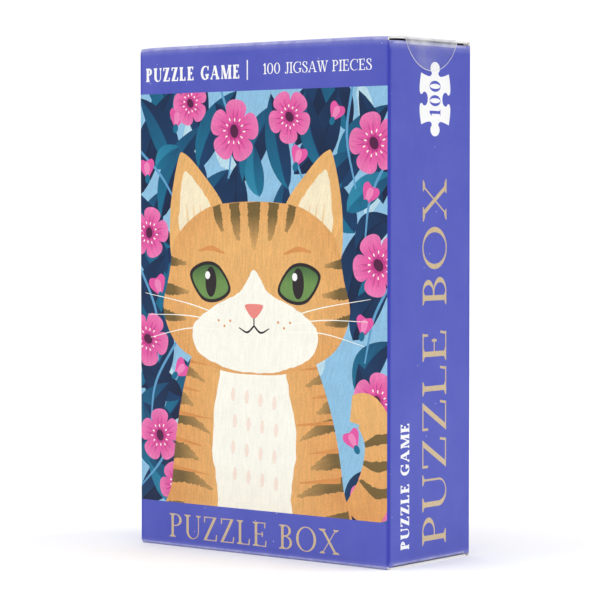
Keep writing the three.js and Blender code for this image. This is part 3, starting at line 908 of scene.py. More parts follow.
def printed_picture():
    """Gouache-like print: each shape's own ink, streaked along its brush direction."""
    nodes = new_material("printed_picture")
    ink = nodes.attribute("ink", "Color")
    streak = nodes.cloud(1.0, 4, vector=nodes.attribute("along", "Vector"))
    darker = nodes.blend(1.0, ink, (0.85, 0.83, 0.83), "MULTIPLY")
    lighter = nodes.blend(1.0, ink, (1.07, 1.06, 1.05), "MULTIPLY")
    streaked = nodes.blend(streak, darker, lighter)
    streaked = nodes.blend(nodes.cloud(2100, 3, 0.0, 0.16, 0.35, 0.65), streaked, (0.02, 0.03, 0.05))
    brightened = nodes.blend(1.0, streaked, (1.1, 1.1, 1.08), "MULTIPLY")
    washed = nodes.blend(nodes.cloud(170, 3), streaked, brightened)
    amount = nodes.remap(nodes.attribute("brush"), 0.0, 2.0, 0.0, 1.0)
    nodes.fill(nodes.shader, {"Base Color": nodes.blend(amount, ink, washed)})
    add_print_coat(nodes)
    return nodes.owner


def metallic_ink():
    """Muted gold ink with a fine metallic grain."""
    nodes = new_material("gold_ink")
    gold = LINEAR_INKS["gold"]
    base = nodes.blend(nodes.cloud(3200, 2), mix(gold, BLACK, 0.16), mix(gold, WHITE, 0.12))
    roughness = nodes.cloud(900, 3, 0.32, 0.44)
    nodes.fill(nodes.shader, {"Base Color": base, "Metallic": 0.12, "Roughness": roughness})
    nodes.bump(1500, 4, 0.12)
    return nodes.owner


def bare_card(name, colour, fibre_scale=1400):
    """Uncoated board: fibres, a faint grey cloud and a soft tooth."""
    nodes = new_material(name)
    base = linear(colour)
    clouded = nodes.blend(nodes.cloud(120, 3), mix(base, BLACK, 0.05), base)
    fibres = nodes.cloud(fibre_scale, 6, 0.0, 0.22, 0.42, 0.7, roughness=0.8)
    fibred = nodes.blend(fibres, clouded, mix(base, linear((150, 140, 120)), 0.6))
    nodes.fill(nodes.shader, {"Base Color": fibred, "Roughness": 0.82, "Specular IOR Level": 0.3})
    nodes.bump(1900, 5, 0.3)
    return nodes.owner


def clear_film(name, tint, haze, alpha, roughness):
    """Thin clear plastic film. haze is how milky it is where it is wrinkled."""
    nodes = new_material(name)
    cloud = nodes.cloud(140, 4, low=0.35, high=0.75)
    nodes.fill(nodes.shader, {
        "Base Color": nodes.blend(cloud, linear(tint), WHITE),
        "Alpha": nodes.remap(cloud, 0, 1, alpha, alpha + haze),
        "Roughness": roughness,
        "Coat Weight": 0.6,
        "Coat Roughness": 0.06,
    })
    nodes.bump(420, 3, 0.25, 0.0002)
    return nodes.owner


def puzzle_print():
    """The printed side of the pieces: blotches of the picture's inks with brush streaks."""
    nodes = new_material("puzzle_print")
    shift = {0: nodes.attribute("seed", "Vector"), 1: (0.037, 0.053, 0.0), 2: nodes.place()}
    place = nodes.add("VectorMath", shift, operation="MULTIPLY_ADD").outputs[0]
    ramp = nodes.add("ValToRGB", {"Fac": nodes.noise(62, 2, place)})
    bands = ramp.color_ramp.elements
    ramp.color_ramp.interpolation = "CONSTANT"
    bands.remove(bands[0])
    bands[0].position = 0.0
    for k, ink in enumerate(("navy", "ocean", "teal", "sky", "pink", "fur", "cream")):
        band = bands.new(0.28 + 0.075 * k) if k else bands[0]
        band.color = (*LINEAR_INKS[ink], 1)
    base = nodes.blend(nodes.cloud(700, 4, 0.0, 0.22), ramp.outputs["Color"], linear((250, 246, 236)))
    nodes.fill(nodes.shader, {"Base Color": base, "Roughness": nodes.cloud(320, 5, 0.36, 0.5)})
    nodes.bump(1500, 4, 0.15)
    return nodes.owner


COATED_SLOT, PRINTED_SLOT, GOLD_SLOT, EDGE_SLOT, INNER_SLOT = range(5)
RAW_EDGE = bare_card("raw_edge", (244, 243, 240))
INNER_CARD = bare_card("inner_card", (218, 215, 207), 1100)
CARD = (coated_card(), printed_picture(), metallic_ink(), RAW_EDGE, INNER_CARD)
LAYER_SLOTS = {"gold": GOLD_SLOT, "bare": INNER_SLOT, "film_bend": PRINTED_SLOT, "film_rim": GOLD_SLOT}

SEAL_FILM = clear_film("seal_film", (196, 196, 210), 0.08, 0.02, 0.24)
# painted highlight: paler, more opaque film where the seal bridges the lid's edge
SEAL_BEND_HIGHLIGHT = clear_film("seal_bend_highlight", (214, 214, 228), 0.2, 0.32, 0.3)
SEAL_RIM = clear_film("seal_rim", (244, 244, 250), 0.15, 0.5, 0.2)
FILM = (SEAL_FILM, SEAL_BEND_HIGHLIGHT, SEAL_RIM, SEAL_RIM, SEAL_FILM)  # the seal's own stock for the card's slots

BAG_FILM = clear_film("bag_film", (225, 230, 240), 0.16, 0.09, 0.12)
PUZZLE_CORE = bare_card("puzzle_core", (176, 168, 152), 1700)
PUZZLE_STOCK = (puzzle_print(), PUZZLE_CORE)
PUZZLE_PRINT_SLOT, PUZZLE_CORE_SLOT = range(2)


# ---------------------------------------------------------------- folded and printed card

def added(name, data):
    """A new object in the scene."""
    thing = bpy.data.objects.new(name, data)
    bpy.context.scene.collection.objects.link(thing)
    return thing


def new_mesh(name, points, faces, materials, slots=None):
    """A smooth mesh. slots holds each face's material number."""
    mesh = bpy.data.meshes.new(name)
    mesh.from_pydata(points, [], faces)
    for material in materials:
        mesh.materials.append(material)
    if slots:
        mesh.polygons.foreach_set("material_index", slots)
    mesh.polygons.foreach_set("use_smooth", [True] * len(faces))
    return mesh


def ring_faces(first, rings, count):
    """The quads between successive rings of points."""
    return [
        (a + i, a + (i + 1) % count, a + count + (i + 1) % count, a + count + i)
        for a in range(first, first + (rings - 1) * count, count)
        for i in range(count)
    ]


def finished(name, mesh, body, replaced=()):
    """Adds a mesh to the scene as a piece that rides on a body and stands for CAD nodes."""
    mesh.validate()
    mesh.update()
    mesh.set_sharp_from_angle(angle=math.radians(35))
    piece = added(name, mesh)
    if body is not None:
        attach(piece, body)
    if replaced:
        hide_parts(*replaced)
    return piece


class Surface:
    """The outer face of a sheet: u runs to the right and v up, in millimetres, seen from outside."""

    def wear_and_highlight(self, u, v):
        """How rubbed the print is, and how much painted highlight lightens it."""
        return 0.0

    def painted_fold_shade(self, u, v):
        """How much painted shade darkens the ink in a fold."""
        return 0.0


class Wall(Surface):
    """One upright panel of the tube, as tall as its CAD node, with the folds at its two edges.

    A fold of 45 degrees meets the next panel's, one of 90 turns inside, and one of 0 is a raw edge.
    """

    def __init__(self, node, origin, right, low, high, folds=(45.0, 45.0)):
        self.node, self.origin, self.right = node, Vector(origin), Vector(right)
        self.normal = self.right.cross(UP)
        self.bottom, self.top = (corner.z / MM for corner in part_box(node))
        self.angles = [math.radians(fold) for fold in folds]
        self.flat_low = low + (FOLD_RADIUS_MM if folds[0] else 0)
        self.flat_high = high - (FOLD_RADIUS_MM if folds[1] else 0)
        self.low = self.flat_low - FOLD_RADIUS_MM * self.angles[0]
        self.high = self.flat_high + FOLD_RADIUS_MM * self.angles[1]

    def guides(self):
        """Level lines where the wear and painted highlight fade, and upright ones where the folds and the
        top's droop bend.
        """
        low, high, bottom, top = self.low, self.high, self.bottom, self.top
        lines = []
        for far in WEAR_AND_HIGHLIGHT_LINES:
            lines += [[(low, v), (high, v)] for v in (top - far, bottom + far)]
        lines += [[(low, top - far), (high, top - far)] for far in DROOP_LEVELS]
        folds = ((self.flat_low, -self.angles[0]), (self.flat_high, self.angles[1]))
        for k in range(-FOLD_STEPS, FOLD_STEPS):
            for edge, angle in folds:
                if angle:
                    u = edge + FOLD_RADIUS_MM * angle * k / FOLD_STEPS
                    lines.append([(u, bottom), (u, top)])
        for far in DROOP_LINES:
            lines += [[(u, top - DROOP_DEPTH_MM), (u, top)] for u in (low + far, high - far)]
        return lines

    def wear_and_highlight(self, u, v):
        """Rubbed print and painted highlight: most at the top fold, a little at the bottom one."""
        at_top = max(0.0, 1 - (self.top - v) / TOP_WEAR_AND_HIGHLIGHT_MM)
        at_bottom = max(0.0, 1 - (v - self.bottom) / BOTTOM_WEAR_AND_HIGHLIGHT_MM)
        return TOP_WEAR_AND_HIGHLIGHT * at_top ** 1.3 + BOTTOM_WEAR_AND_HIGHLIGHT * at_bottom

    def painted_fold_shade(self, u, v):
        """Painted shade: most in the middle of an upright fold."""
        nearest = min(edge for edge, angle in zip((u - self.low, self.high - u), self.angles) if angle)
        return PAINTED_FOLD_SHADE * min(1.0, max(0.0, 1.6 - nearest / PAINTED_FOLD_SHADE_MM))

    def place(self, u, v, depth):
        """The point at (u, v) on the outer face, sunk by depth into the card."""
        beyond = max(0.0, u - self.flat_high) - max(0.0, self.flat_low - u)
        turn = beyond / FOLD_RADIUS_MM
        radius = FOLD_RADIUS_MM - depth
        across = min(max(u, self.flat_low), self.flat_high) + radius * math.sin(turn)
        sunk = depth + radius * (1 - math.cos(turn)) if turn else depth
        return drooped(self.origin + (self.right * across - self.normal * sunk + UP * v) * MM)


class Plate(Surface):
    """A flat flap or lid."""

    def __init__(self, origin, right, normal):
        self.origin, self.right, self.normal = Vector(origin), Vector(right), Vector(normal)
        self.up = self.normal.cross(self.right)

    def place(self, u, v, depth):
        return drooped(self.origin + (self.right * u + self.up * v - self.normal * depth) * MM)

    def flat(self, point):
        """The (u, v) of a point of the frame."""
        offset = (Vector(point) - self.origin) / MM
        return offset.dot(self.right), offset.dot(self.up)


def sheet_mesh(name, surface, outline, layers=(), window=None, guides=(), dots=(), stock=CARD,
               thick=BOARD_MM):
    """A sheet of card or film: its outer face with the print, its rim and its inner face."""
    flat, triangles, owner = partition(outline, layers, window, guides, dots)
    count = len(flat)
    points = [surface.place(u, v, depth) for depth in (0.0, thick) for u, v in flat]
    outer = triangles.tolist()
    directed = {(t[i], t[(i + 1) % 3]) for t in outer for i in range(3)}
    rim = [(a, b) for a, b in directed if (b, a) not in directed]
    faces = outer + [(b, a, a + count, b + count) for a, b in rim]
    faces += [(c + count, b + count, a + count) for a, b, c in outer]
    slots = [LAYER_SLOTS.get(layers[k].ink, PRINTED_SLOT) if k >= 0 else COATED_SLOT for k in owner]
    slots += [EDGE_SLOT] * len(rim) + [INNER_SLOT] * len(outer)
    mesh = new_mesh(name, points, faces, stock, slots)
    paint(mesh, flat, triangles, owner, layers, surface)
    return mesh


def paint(mesh, flat, triangles, owner, layers, surface):
    """Writes each outer corner's wear and painted highlight, its painted fold shade, and its ink, brush
    amount and place along the brush marks.
    """
    loops = len(mesh.loops)
    ink = np.ones((loops, 4), np.float32)
    ink[:, :3] = LINEAR_INKS["violet"]
    along = np.zeros((loops, 3), np.float32)
    brush = np.zeros(loops, np.float32)
    # the rubbed print with its painted highlight, and the painted shade in the folds
    for name, rule in (("wear_and_highlight", surface.wear_and_highlight), ("painted_fold_shade", surface.painted_fold_shade)):
        amount = np.zeros(loops, np.float32)
        amount[:triangles.size] = np.array([rule(u, v) for u, v in flat], np.float32)[triangles.ravel()]
        mesh.attributes.new(name, "FLOAT", "CORNER").data.foreach_set("value", amount)
    for loop, (corner, number) in enumerate(zip(triangles.ravel(), owner.repeat(3))):
        if number < 0:
            continue
        layer = layers[number]
        c, s = math.cos(math.radians(layer.grain)), math.sin(math.radians(layer.grain))
        u, v = flat[corner]
        if layer.ink in INKS:
            ink[loop, :3] = layer.colour((u, v))
        along[loop] = (0.22 * (c * u + s * v), 1.7 * (c * v - s * u), 7.3 * (number % 97))
        brush[loop] = layer.brush
    mesh.attributes.new("ink", "FLOAT_COLOR", "CORNER").data.foreach_set("color", ink.ravel())
    mesh.attributes.new("along", "FLOAT_VECTOR", "CORNER").data.foreach_set("vector", along.ravel())
    mesh.attributes.new("brush", "FLOAT", "CORNER").data.foreach_set("value", brush)


def window_dots(window):
    """Loose points all over a picture, so that its shading is smooth."""
    (x0, y0), (x1, y1) = window[0], window[2]
    step = (x1 - x0) / DOTS_ACROSS
    shift = 0.3 * step
    draw = random.Random(3)
    return [
        (x + draw.uniform(-shift, shift), y + draw.uniform(-shift, shift))
        for x in np.arange(x0 + step, x1 - step, step)
        for y in np.arange(y0 + step, y1 - step, step)
    ]


def wall_piece(name, wall, layers, window=None, shoulders=None):
    """One printed panel of the tube.

    shoulders are two distances along u: outside them the panel goes on up to the end of the crease.
    """
    low, high, bottom, top = wall.low, wall.high, wall.bottom, wall.top
    outline = [(low, bottom), (high, bottom), (high, top), (low, top)]
    if shoulders:
        a, b = shoulders
        floor, roof = bottom - SHOULDER_MM, top + SHOULDER_MM
        outline = [(low, floor), (a, floor), (a, bottom), (b, bottom), (b, floor), (high, floor),
                   (high, roof), (b, roof), (b, top), (a, top), (a, roof), (low, roof)]
    dots = [] if window is None else window_dots(window)
    mesh = sheet_mesh(name, wall, outline, layers, window, wall.guides(), dots)
    return finished(name, mesh, "carton", [wall.node])


def face_outline(node, normal):
    """The outline of a CAD node's flat face that looks along normal, anticlockwise from outside."""
    shape = bmesh.new()
    shape.from_mesh(frame["nodes"][node].data)
    bmesh.ops.remove_doubles(shape, verts=shape.verts, dist=1e-6)
    facing = [face for face in shape.faces if face.normal.dot(normal) > 0.999]
    following = {}
    for face in facing:
        for loop in face.loops:
            if not any(other != face and other in facing for other in loop.edge.link_faces):
                following[loop.vert.index] = (loop.link_loop_next.vert.index, loop.vert.co.copy())
    shape.free()
    outline = []
    at = start = next(iter(following))
    while not outline or at != start:
        at, place = following[at]
        outline.append(place)
    return outline


def corner_guides(plate):
    """Lines across a flap on the top along which its front corners droop."""
    lines = []
    for far in DROOP_LINES:
        for side in (-1, 1):
            x = side * (WIDTH_MM / 2 - far) * MM
            lines.append([plate.flat((x, y, plate.origin.z)) for y in (FRONT, FRONT + 12 * MM)])
        y = FRONT + far * MM
        lines.append([plate.flat((x, y, plate.origin.z)) for x in (LEFT, RIGHT)])
    return lines


def flap_piece(name, node, normal, right, layers_for=None):
    """A lid or flap with the outline of its CAD node, which is named like its body."""
    loop = face_outline(node, normal)
    plate = Plate(sum(loop, Vector()) / len(loop), right, normal)
    layers = layers_for(plate) if layers_for else []
    on_top = TOP - plate.origin.z < 4 * BOARD
    guides = corner_guides(plate) if on_top else ()
    mesh = sheet_mesh(name, plate, [plate.flat(p) for p in loop], layers, guides=guides)
    return finished(name, mesh, node, [node])


# ---------------------------------------------------------------- creases

def bezier(a, control, b, t):
    return a * (1 - t) ** 2 + control * 2 * t * (1 - t) + b * t * t


def meeting(p, d, q, e):
    """Where the line from p along d passes closest to the line from q along e."""
    w, dd, ee, de = p - q, d.dot(d), e.dot(e), d.dot(e)
    return p + d * (de * e.dot(w) - ee * d.dot(w)) / (dd * ee - de * de)


def crease_section(pivot, sides):
    """The bent strip's cross-section: its outer line from one plate to the other and its inner line back."""
    rows = []
    for depth in (BOARD / 2, -BOARD / 2):
        (d, _), (e, _) = sides
        a, b = (pivot + along * CREASE_GAP + normal * depth for along, normal in sides)
        control = meeting(a, d, b, e)
        rows.append([bezier(a, control, b, k / CREASE_STEPS) for k in range(CREASE_STEPS + 1)])
    return rows[0] + rows[1][::-1]


def crease_piece(name, hinge, axis, start, end, sides):
    """The bent strip of card between two plates that share a crease.

    sides are each (direction from the crease along the plate, outward normal). start and end are how
    far the strip runs along the axis.
    """
    pivot = next(Vector(joint["pos_m"]) for joint in frame["joints"] if joint["name"] == hinge)
    section = crease_section(pivot, sides)
    count, steps, spans = len(section), CREASE_STEPS, CREASE_SPANS
    points = []
    for k in range(spans + 1):
        shift = axis * (start + (end - start) * k / spans) - axis * pivot.dot(axis)
        points += [drooped(p + shift) for p in section]
    faces = ring_faces(0, spans + 1, count)
    around = [EDGE_SLOT] * count
    around[:steps] = [COATED_SLOT] * steps
    around[steps + 1:-1] = [INNER_SLOT] * steps
    slots = around * spans
    last = spans * count
    for i in range(steps):
        a, b, c, d = i, i + 1, count - 2 - i, count - 1 - i
        faces += [(a, d, c, b), (last + b, last + c, last + d, last + a)]
        slots += [EDGE_SLOT, EDGE_SLOT]
    mesh = new_mesh(name, points, faces, CARD, slots)
    shape = bmesh.new()
    shape.from_mesh(mesh)
    bmesh.ops.recalc_face_normals(shape, faces=shape.faces)
    shape.to_mesh(mesh)
    shape.free()
    # rubbed print and painted highlight along the crease's outer face
    wear_and_highlight = mesh.attributes.new("wear_and_highlight", "FLOAT", "POINT")
    wear_and_highlight.data.foreach_set("value", [FOLD_WEAR_AND_HIGHLIGHT if i <= steps else 0.0 for i in range(count)] * (spans + 1))
    piece = finished(name, mesh, None)
    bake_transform(piece)


# ---------------------------------------------------------------- the tube

def add_tube():
    half_width, half_depth = WIDTH_MM / 2, DEPTH_MM / 2
    front = Wall("front_panel", (0, FRONT, 0), RIGHTWARDS, -half_width, half_width)
    side = Wall("right_side_panel", (RIGHT, 0, 0), BACKWARDS, -half_depth, half_depth)
    back = Wall("back_panel", (0, BACK, 0), -RIGHTWARDS, -half_width, half_width - SEAM_INSET_MM, (45, 0))
    seam = BOARD_MM - half_depth
    other_side = Wall("left_side_panel", (LEFT, 0, 0), -BACKWARDS, seam, half_depth, (90, 45))
    flap_low, flap_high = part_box("top_dust_flap_right")
    root_low, root_high = flap_low.y / MM + 0.25, flap_high.y / MM + 0.05
    wall_piece("front_wall", front, *front_layers(front.high))
    wall_piece("right_side_wall", side, side_layers(0), shoulders=(root_low, root_high))
    wall_piece("back_wall", back, *back_layers())
    middle = (other_side.low + other_side.high) / 2
    wall_piece("left_side_wall", other_side, side_layers(middle), shoulders=(-root_high, -root_low))
    add_glue_flap()


def add_glue_flap():
    """The flap of the left side that is glued inside the back panel, tapered at both ends."""
    low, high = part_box("glue_flap")
    plate = Plate((low.x, high.y, 0), -RIGHTWARDS, BACKWARDS)
    wide, bottom, top = (high.x - low.x) / MM, low.z / MM, high.z / MM
    taper = 5
    outline = [(-wide, bottom + taper), (0, bottom), (0, top), (-wide, top - taper)]
    finished("seam_flap", sheet_mesh("seam_flap", plate, outline), "carton", ["glue_flap"])


# ---------------------------------------------------------------- the closures

def broad_face(node, hint):
    """The outward normal of the node's largest face that looks the way hint does."""
    faces = [face for face in frame["nodes"][node].data.polygons if face.normal.dot(hint) > 0.05]
    return max(faces, key=lambda face: face.area).normal.copy()


def bleed(side):
    """The print runs BLEED_MM over a dust flap, and the rest of it is bare."""
    def layers(plate):
        edge = plate.flat((side * (RIGHT - BLEED_MM * MM), 0, plate.origin.z))[0]
        low, high = sorted((edge, edge - side * WIDTH_MM))
        return [Layer("bare", rectangle(low, -DEPTH_MM, high, DEPTH_MM), clip=False)]
    return layers


def add_closure(prefix, way):
    """The lid, tuck flap, dust flaps and creases of the top (way 1) or the bottom (way -1)."""
    out, down = UP * way, -UP * way
    lid, tuck = f"{prefix}_lid", f"{prefix}_tuck_flap"
    tuck_out = broad_face(tuck, BACKWARDS)
    tuck_down = tuck_out.cross(RIGHTWARDS) * way
    if tuck_down.dot(down) < 0:
        tuck_down = -tuck_down
    flap_piece(f"{prefix}_lid_board", lid, out, RIGHTWARDS)
    flap_piece(f"{prefix}_tuck_board", tuck, tuck_out, -RIGHTWARDS)
    low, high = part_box(lid)
    crease_piece(f"{prefix}_lid_fold", f"{prefix}_lid_hinge", RIGHTWARDS,
                 low.x + CREASE_END, high.x - CREASE_END,
                 ((down, -BACKWARDS), (BACKWARDS, out)))
    low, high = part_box(tuck)
    crease_piece(f"{prefix}_tuck_fold", f"{prefix}_tuck_crease", RIGHTWARDS, low.x, high.x,
                 ((-BACKWARDS, out), (tuck_down, tuck_out)))
    for name, side in (("left", -1), ("right", 1)):
        flap = f"{prefix}_dust_flap_{name}"
        flap_piece(f"{prefix}_dust_board_{name}", flap, out, RIGHTWARDS, bleed(side))
        low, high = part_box(flap)
        crease_piece(f"{prefix}_dust_fold_{name}", f"{prefix}_dust_crease_{name}", BACKWARDS,
                     low.y + CREASE_END, high.y, ((down, RIGHTWARDS * side), (-RIGHTWARDS * side, out)))


# ---------------------------------------------------------------- the seal

class SealSurface(Surface):
    """The seal's outer face. u runs along the lid up to 0 at its edge, and on down the side."""

    def __init__(self, corner):
        self.edge_x, self.edge_z = corner.x / MM, corner.z / MM
        self.arc = SEAL_BEND_MM * math.pi / 2

    def place(self, u, v, depth):
        radius, half = SEAL_BEND_MM, self.arc / 2
        turn = min(max(u + half, 0.0), self.arc) / radius
        x = self.edge_x - radius + min(u + half, 0.0) + (radius - depth) * math.sin(turn)
        z = self.edge_z - radius - max(u - half, 0.0) + (radius - depth) * math.cos(turn)
        return Vector((x, v, z)) * MM

    def guides(self, reach):
        return [[(u, -reach), (u, reach)] for u in np.linspace(-self.arc / 2, self.arc / 2, 9)]


def add_seal():
    """A clear round film folded over the lid's edge, with a painted highlight along the fold and a bright
    thin rim.
    """
    low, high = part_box("round_seal")
    radius = (high.y - low.y) / 2 / MM
    surface = SealSurface(high)
    centre = (low.x - high.x) / MM + radius
    outline = ellipse(centre, 0, radius, points=SEAL_ROUND)
    clear = ellipse(centre, 0, radius - SEAL_RIM_MM, points=SEAL_ROUND)
    ring = np.vstack([outline, outline[:1], clear[:1], clear[::-1]])
    # painted highlight: paler, more opaque film across the fold
    highlight_band = rectangle(SEAL_HIGHLIGHT_MM[0], -radius, SEAL_HIGHLIGHT_MM[1], radius)
    layers = [Layer("film_bend", highlight_band, within=clear), Layer("film_rim", ring)]
    draw = random.Random(5)
    dots = []
    for _ in range(SEAL_DOTS):
        angle, far = draw.uniform(0, 2 * math.pi), (radius - 0.6) * math.sqrt(draw.random())
        dots.append((centre + far * math.cos(angle), far * math.sin(angle)))
    mesh = sheet_mesh("clear_seal", surface, outline, layers, guides=surface.guides(radius + 1), dots=dots,
                      stock=FILM, thick=SEAL_THICK_MM)
    finished("clear_seal", mesh, "top_lid", ["round_seal"])


# ---------------------------------------------------------------- the puzzle's pieces

PUZZLE = 10  # pieces along each side of the finished puzzle
PIECE_MM = (26.0, 20.0)
PIECE_THICK_MM = 1.8
PIECE_PITCH_MM = 2.0
KNOB_HEIGHT, KNOB_RADIUS, NECK_HALF_WIDTH = 4.2, 2.2, 1.4
KNOB_STEPS = 14
COLUMN = 50  # pieces in each of the two columns
COLUMN_SPACING_MM = 36.6
STACK_CELL = (4, 4)
STACK_LEVELS = 29  # the pieces of a column that stand for one CAD node
MAX_TWIST = math.radians(1.6)
# height and inset of each ring of a piece's edge; the print begins at ring PRINT_RING
PIECE_PROFILE = ((0.0, 0.32), (0.1, 0.12), (0.28, 0.0), (PIECE_THICK_MM - 0.22, 0.0),
                 (PIECE_THICK_MM - 0.06, 0.08), (PIECE_THICK_MM, 0.26))
PRINT_RING = 3


def scatter(seed):
    """A repeatable number from -1 to 1 for each whole number, the same as the CAD's."""
    wave = math.sin(seed * 12.9898 + 4.1414) * 43758.5453
    return 2 * (wave - math.floor(wave)) - 1


def cut(column, row, upright):
    """Which side of a cut its knob is on, and how far the knob is shifted along it."""
    if (column if upright else row) in (0, PUZZLE):
        return 0, 0.0
    seed = 1 + column + 23 * row + (997 if upright else 0)
    return (1 if scatter(seed) > 0 else -1), 1.2 * scatter(seed + 0.5)


def piece_side(start, end, side, shift, outwards):
    """The points of one side of a jigsaw piece, with its knob standing out or in."""
    start, end = np.array(start, float), np.array(end, float)
    if side == 0:
        return [start]
    along = (end - start) / np.linalg.norm(end - start)
    out = np.array([along[1], -along[0]]) * side * outwards
    middle = (start + end) / 2 + np.abs(along) * shift
    neck = math.asin(NECK_HALF_WIDTH / KNOB_RADIUS)
    points = [start, middle - along * NECK_HALF_WIDTH]
    for i in range(KNOB_STEPS + 1):
        angle = -math.pi / 2 - neck - i / KNOB_STEPS * (2 * math.pi - 2 * neck)
        points.append(middle + along * KNOB_RADIUS * math.cos(angle)
                      + out * (KNOB_HEIGHT - KNOB_RADIUS + KNOB_RADIUS * math.sin(angle)))
    return points + [middle + along * NECK_HALF_WIDTH]


def piece_outline(column, row):
    x, y = PIECE_MM[0] / 2, PIECE_MM[1] / 2
    return np.array(
        piece_side((-x, -y), (x, -y), *cut(column, row, False), 1)
        + piece_side((x, -y), (x, y), *cut(column + 1, row, True), 1)
        + piece_side((x, y), (-x, y), *cut(column, row + 1, False), -1)
        + piece_side((-x, y), (-x, -y), *cut(column, row, True), -1)
    )


def inset(outline, amount):
    """The outline moved inwards, for a rounded edge."""
    inward = 0
    for side in (outline - np.roll(outline, 1, 0), np.roll(outline, -1, 0) - outline):
        length = np.linalg.norm(side, axis=1)[:, None] + 1e-9
        inward = inward + np.column_stack([-side[:, 1], side[:, 0]]) / length
    inward /= np.maximum(np.linalg.norm(inward, axis=1), 0.6)[:, None]
    return outline + inward * amount


def add_jigsaw(name, node, cells):
    """Jigsaw pieces that stand for one CAD node: a cell is (column, row, x, y, bottom, twist, number)."""
    points, faces, slots, seeds = [], [], [], []
    rings = len(PIECE_PROFILE)
    for column, row, x, y, bottom, twist, number in cells:
        outline = piece_outline(column, row)
        count, first = len(outline), len(points)
        for height, amount in PIECE_PROFILE:
            ring = moved(inset(outline, amount), x, y, turn=math.degrees(twist))
            points += [(u * MM, v * MM, (bottom + height) * MM) for u, v in ring]
        faces += ring_faces(first, rings, count)
        faces.append(tuple(first + (rings - 1) * count + i for i in range(count)))
        faces.append(tuple(first + i for i in reversed(range(count))))
        for ring in range(rings - 1):
            slots += [PUZZLE_PRINT_SLOT if ring >= PRINT_RING else PUZZLE_CORE_SLOT] * count
        slots += [PUZZLE_PRINT_SLOT, PUZZLE_CORE_SLOT]
        seeds += [number] * (count * rings)
    mesh = new_mesh(name, points, faces, PUZZLE_STOCK, slots)
    mesh.attributes.new("seed", "FLOAT", "POINT").data.foreach_set("value", seeds)
    finished(name, mesh, "bag", [node])


def add_pieces():
    """Two columns of fifty pieces each."""
    low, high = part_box("inner_bag")
    y = (low.y + high.y) / 2 / MM
    for side, sign, first in (("left", -1, 0), ("right", 1, COLUMN)):
        x = sign * COLUMN_SPACING_MM / 2
        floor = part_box(f"piece_stack_{side}")[0].z / MM
        heights = [floor + PIECE_PITCH_MM * level for level in range(COLUMN)]
        cells = [(*STACK_CELL, x, y, heights[level], 0.0, first + level) for level in range(STACK_LEVELS)]
        add_jigsaw(f"stacked_pieces_{side}", f"piece_stack_{side}", cells)
        for level in range(STACK_LEVELS, COLUMN):
            index = first + level
            row, column = divmod(index, PUZZLE)
            cell = (column, row, x, y, heights[level], MAX_TWIST * scatter(index + 7), index)
            add_jigsaw(f"piece_{index + 1:03d}", f"puzzle_piece_{index + 1:03d}", [cell])


# ---------------------------------------------------------------- the bag

BAG_RING = 120  # points round the bag
BAG_LEVELS = 62
BAG_FILM_MM = 0.12
BAG_CORNER_MM = 6.0
SLACK_MM = 4.5  # half the width of the slack stretch between the columns
SIDE_START_MM = 35.6  # beyond this the film is drawn in sideways instead of from front and back
VENT_RADIUS_MM = 3.0
DOT_STEP_MM = 1.8
FIN_MM = (72.0, 9.0)
FIN_START_MM = 2.8  # the fin starts this far behind the middle
FIN_RIDGE_MM = 0.09
FIN_ROWS, FIN_COLUMNS = 25, 76


def film_noise(x, y, z):
    return mathutils_noise.noise(Vector((x, y, z)))


def bag_section(z, low, high):
    """Half the width and half the depth of the bag at height z, all in millimetres."""
    half_width, half_depth = (high.x - low.x) / 2 / MM, (high.y - low.y) / 2 / MM
    up, down = high.z / MM - z, z - low.z / MM
    shrink = 0.5 + 2.2 * max(0.0, 1 - up / 5) ** 2 + 1.5 * max(0.0, 1 - down / 3) ** 2
    return half_width - shrink, half_depth - 0.35 - 0.6 * (shrink - 0.5)


def rounded_ring(half_width, half_depth):
    """Points round a rectangle with round corners, evenly spaced, anticlockwise."""
    x, y = half_width - BAG_CORNER_MM, half_depth - BAG_CORNER_MM
    corners = [ellipse(sx * x, sy * y, BAG_CORNER_MM, start=a, end=a + 90, points=9)
               for sx, sy, a in ((1, -1, -90), (1, 1, 0), (-1, 1, 90), (-1, -1, 180))]
    path = np.vstack(corners + [corners[0][:1]])
    reach = np.concatenate([[0], np.cumsum(np.linalg.norm(np.diff(path, axis=0), axis=1))])
    at = np.linspace(0, reach[-1], BAG_RING, endpoint=False)
    return np.column_stack([np.interp(at, reach, path[:, 0]), np.interp(at, reach, path[:, 1])])


def crumpled(x, y, z, half_width, half_depth):
    """A point of the film drawn in by long folds, by creases and by a slack middle between the columns."""
    folds = 0.5 + 0.5 * film_noise(x * 0.09, y * 0.16, z * 0.05)
    crease = abs(film_noise(x * 0.16 + 4, y * 0.2, z * 0.12 + 9))
    between = math.exp(-((x / SLACK_MM) ** 2))
    pull = 0.55 * folds + 0.9 * (0.35 - min(crease, 0.35)) + 3.0 * between * folds
    side = min(1.0, max(0.0, (abs(x) - SIDE_START_MM) / 2.0))
    share = 0.42 + 0.9 * side + 0.9 * between
    normal = np.array([x / half_width ** 2, y / half_depth ** 2])
    normal /= np.linalg.norm(normal)
    return (x - normal[0] * pull * share * side * 1.2, y - np.sign(y) * pull * share * (1 - side) * 0.6, z)


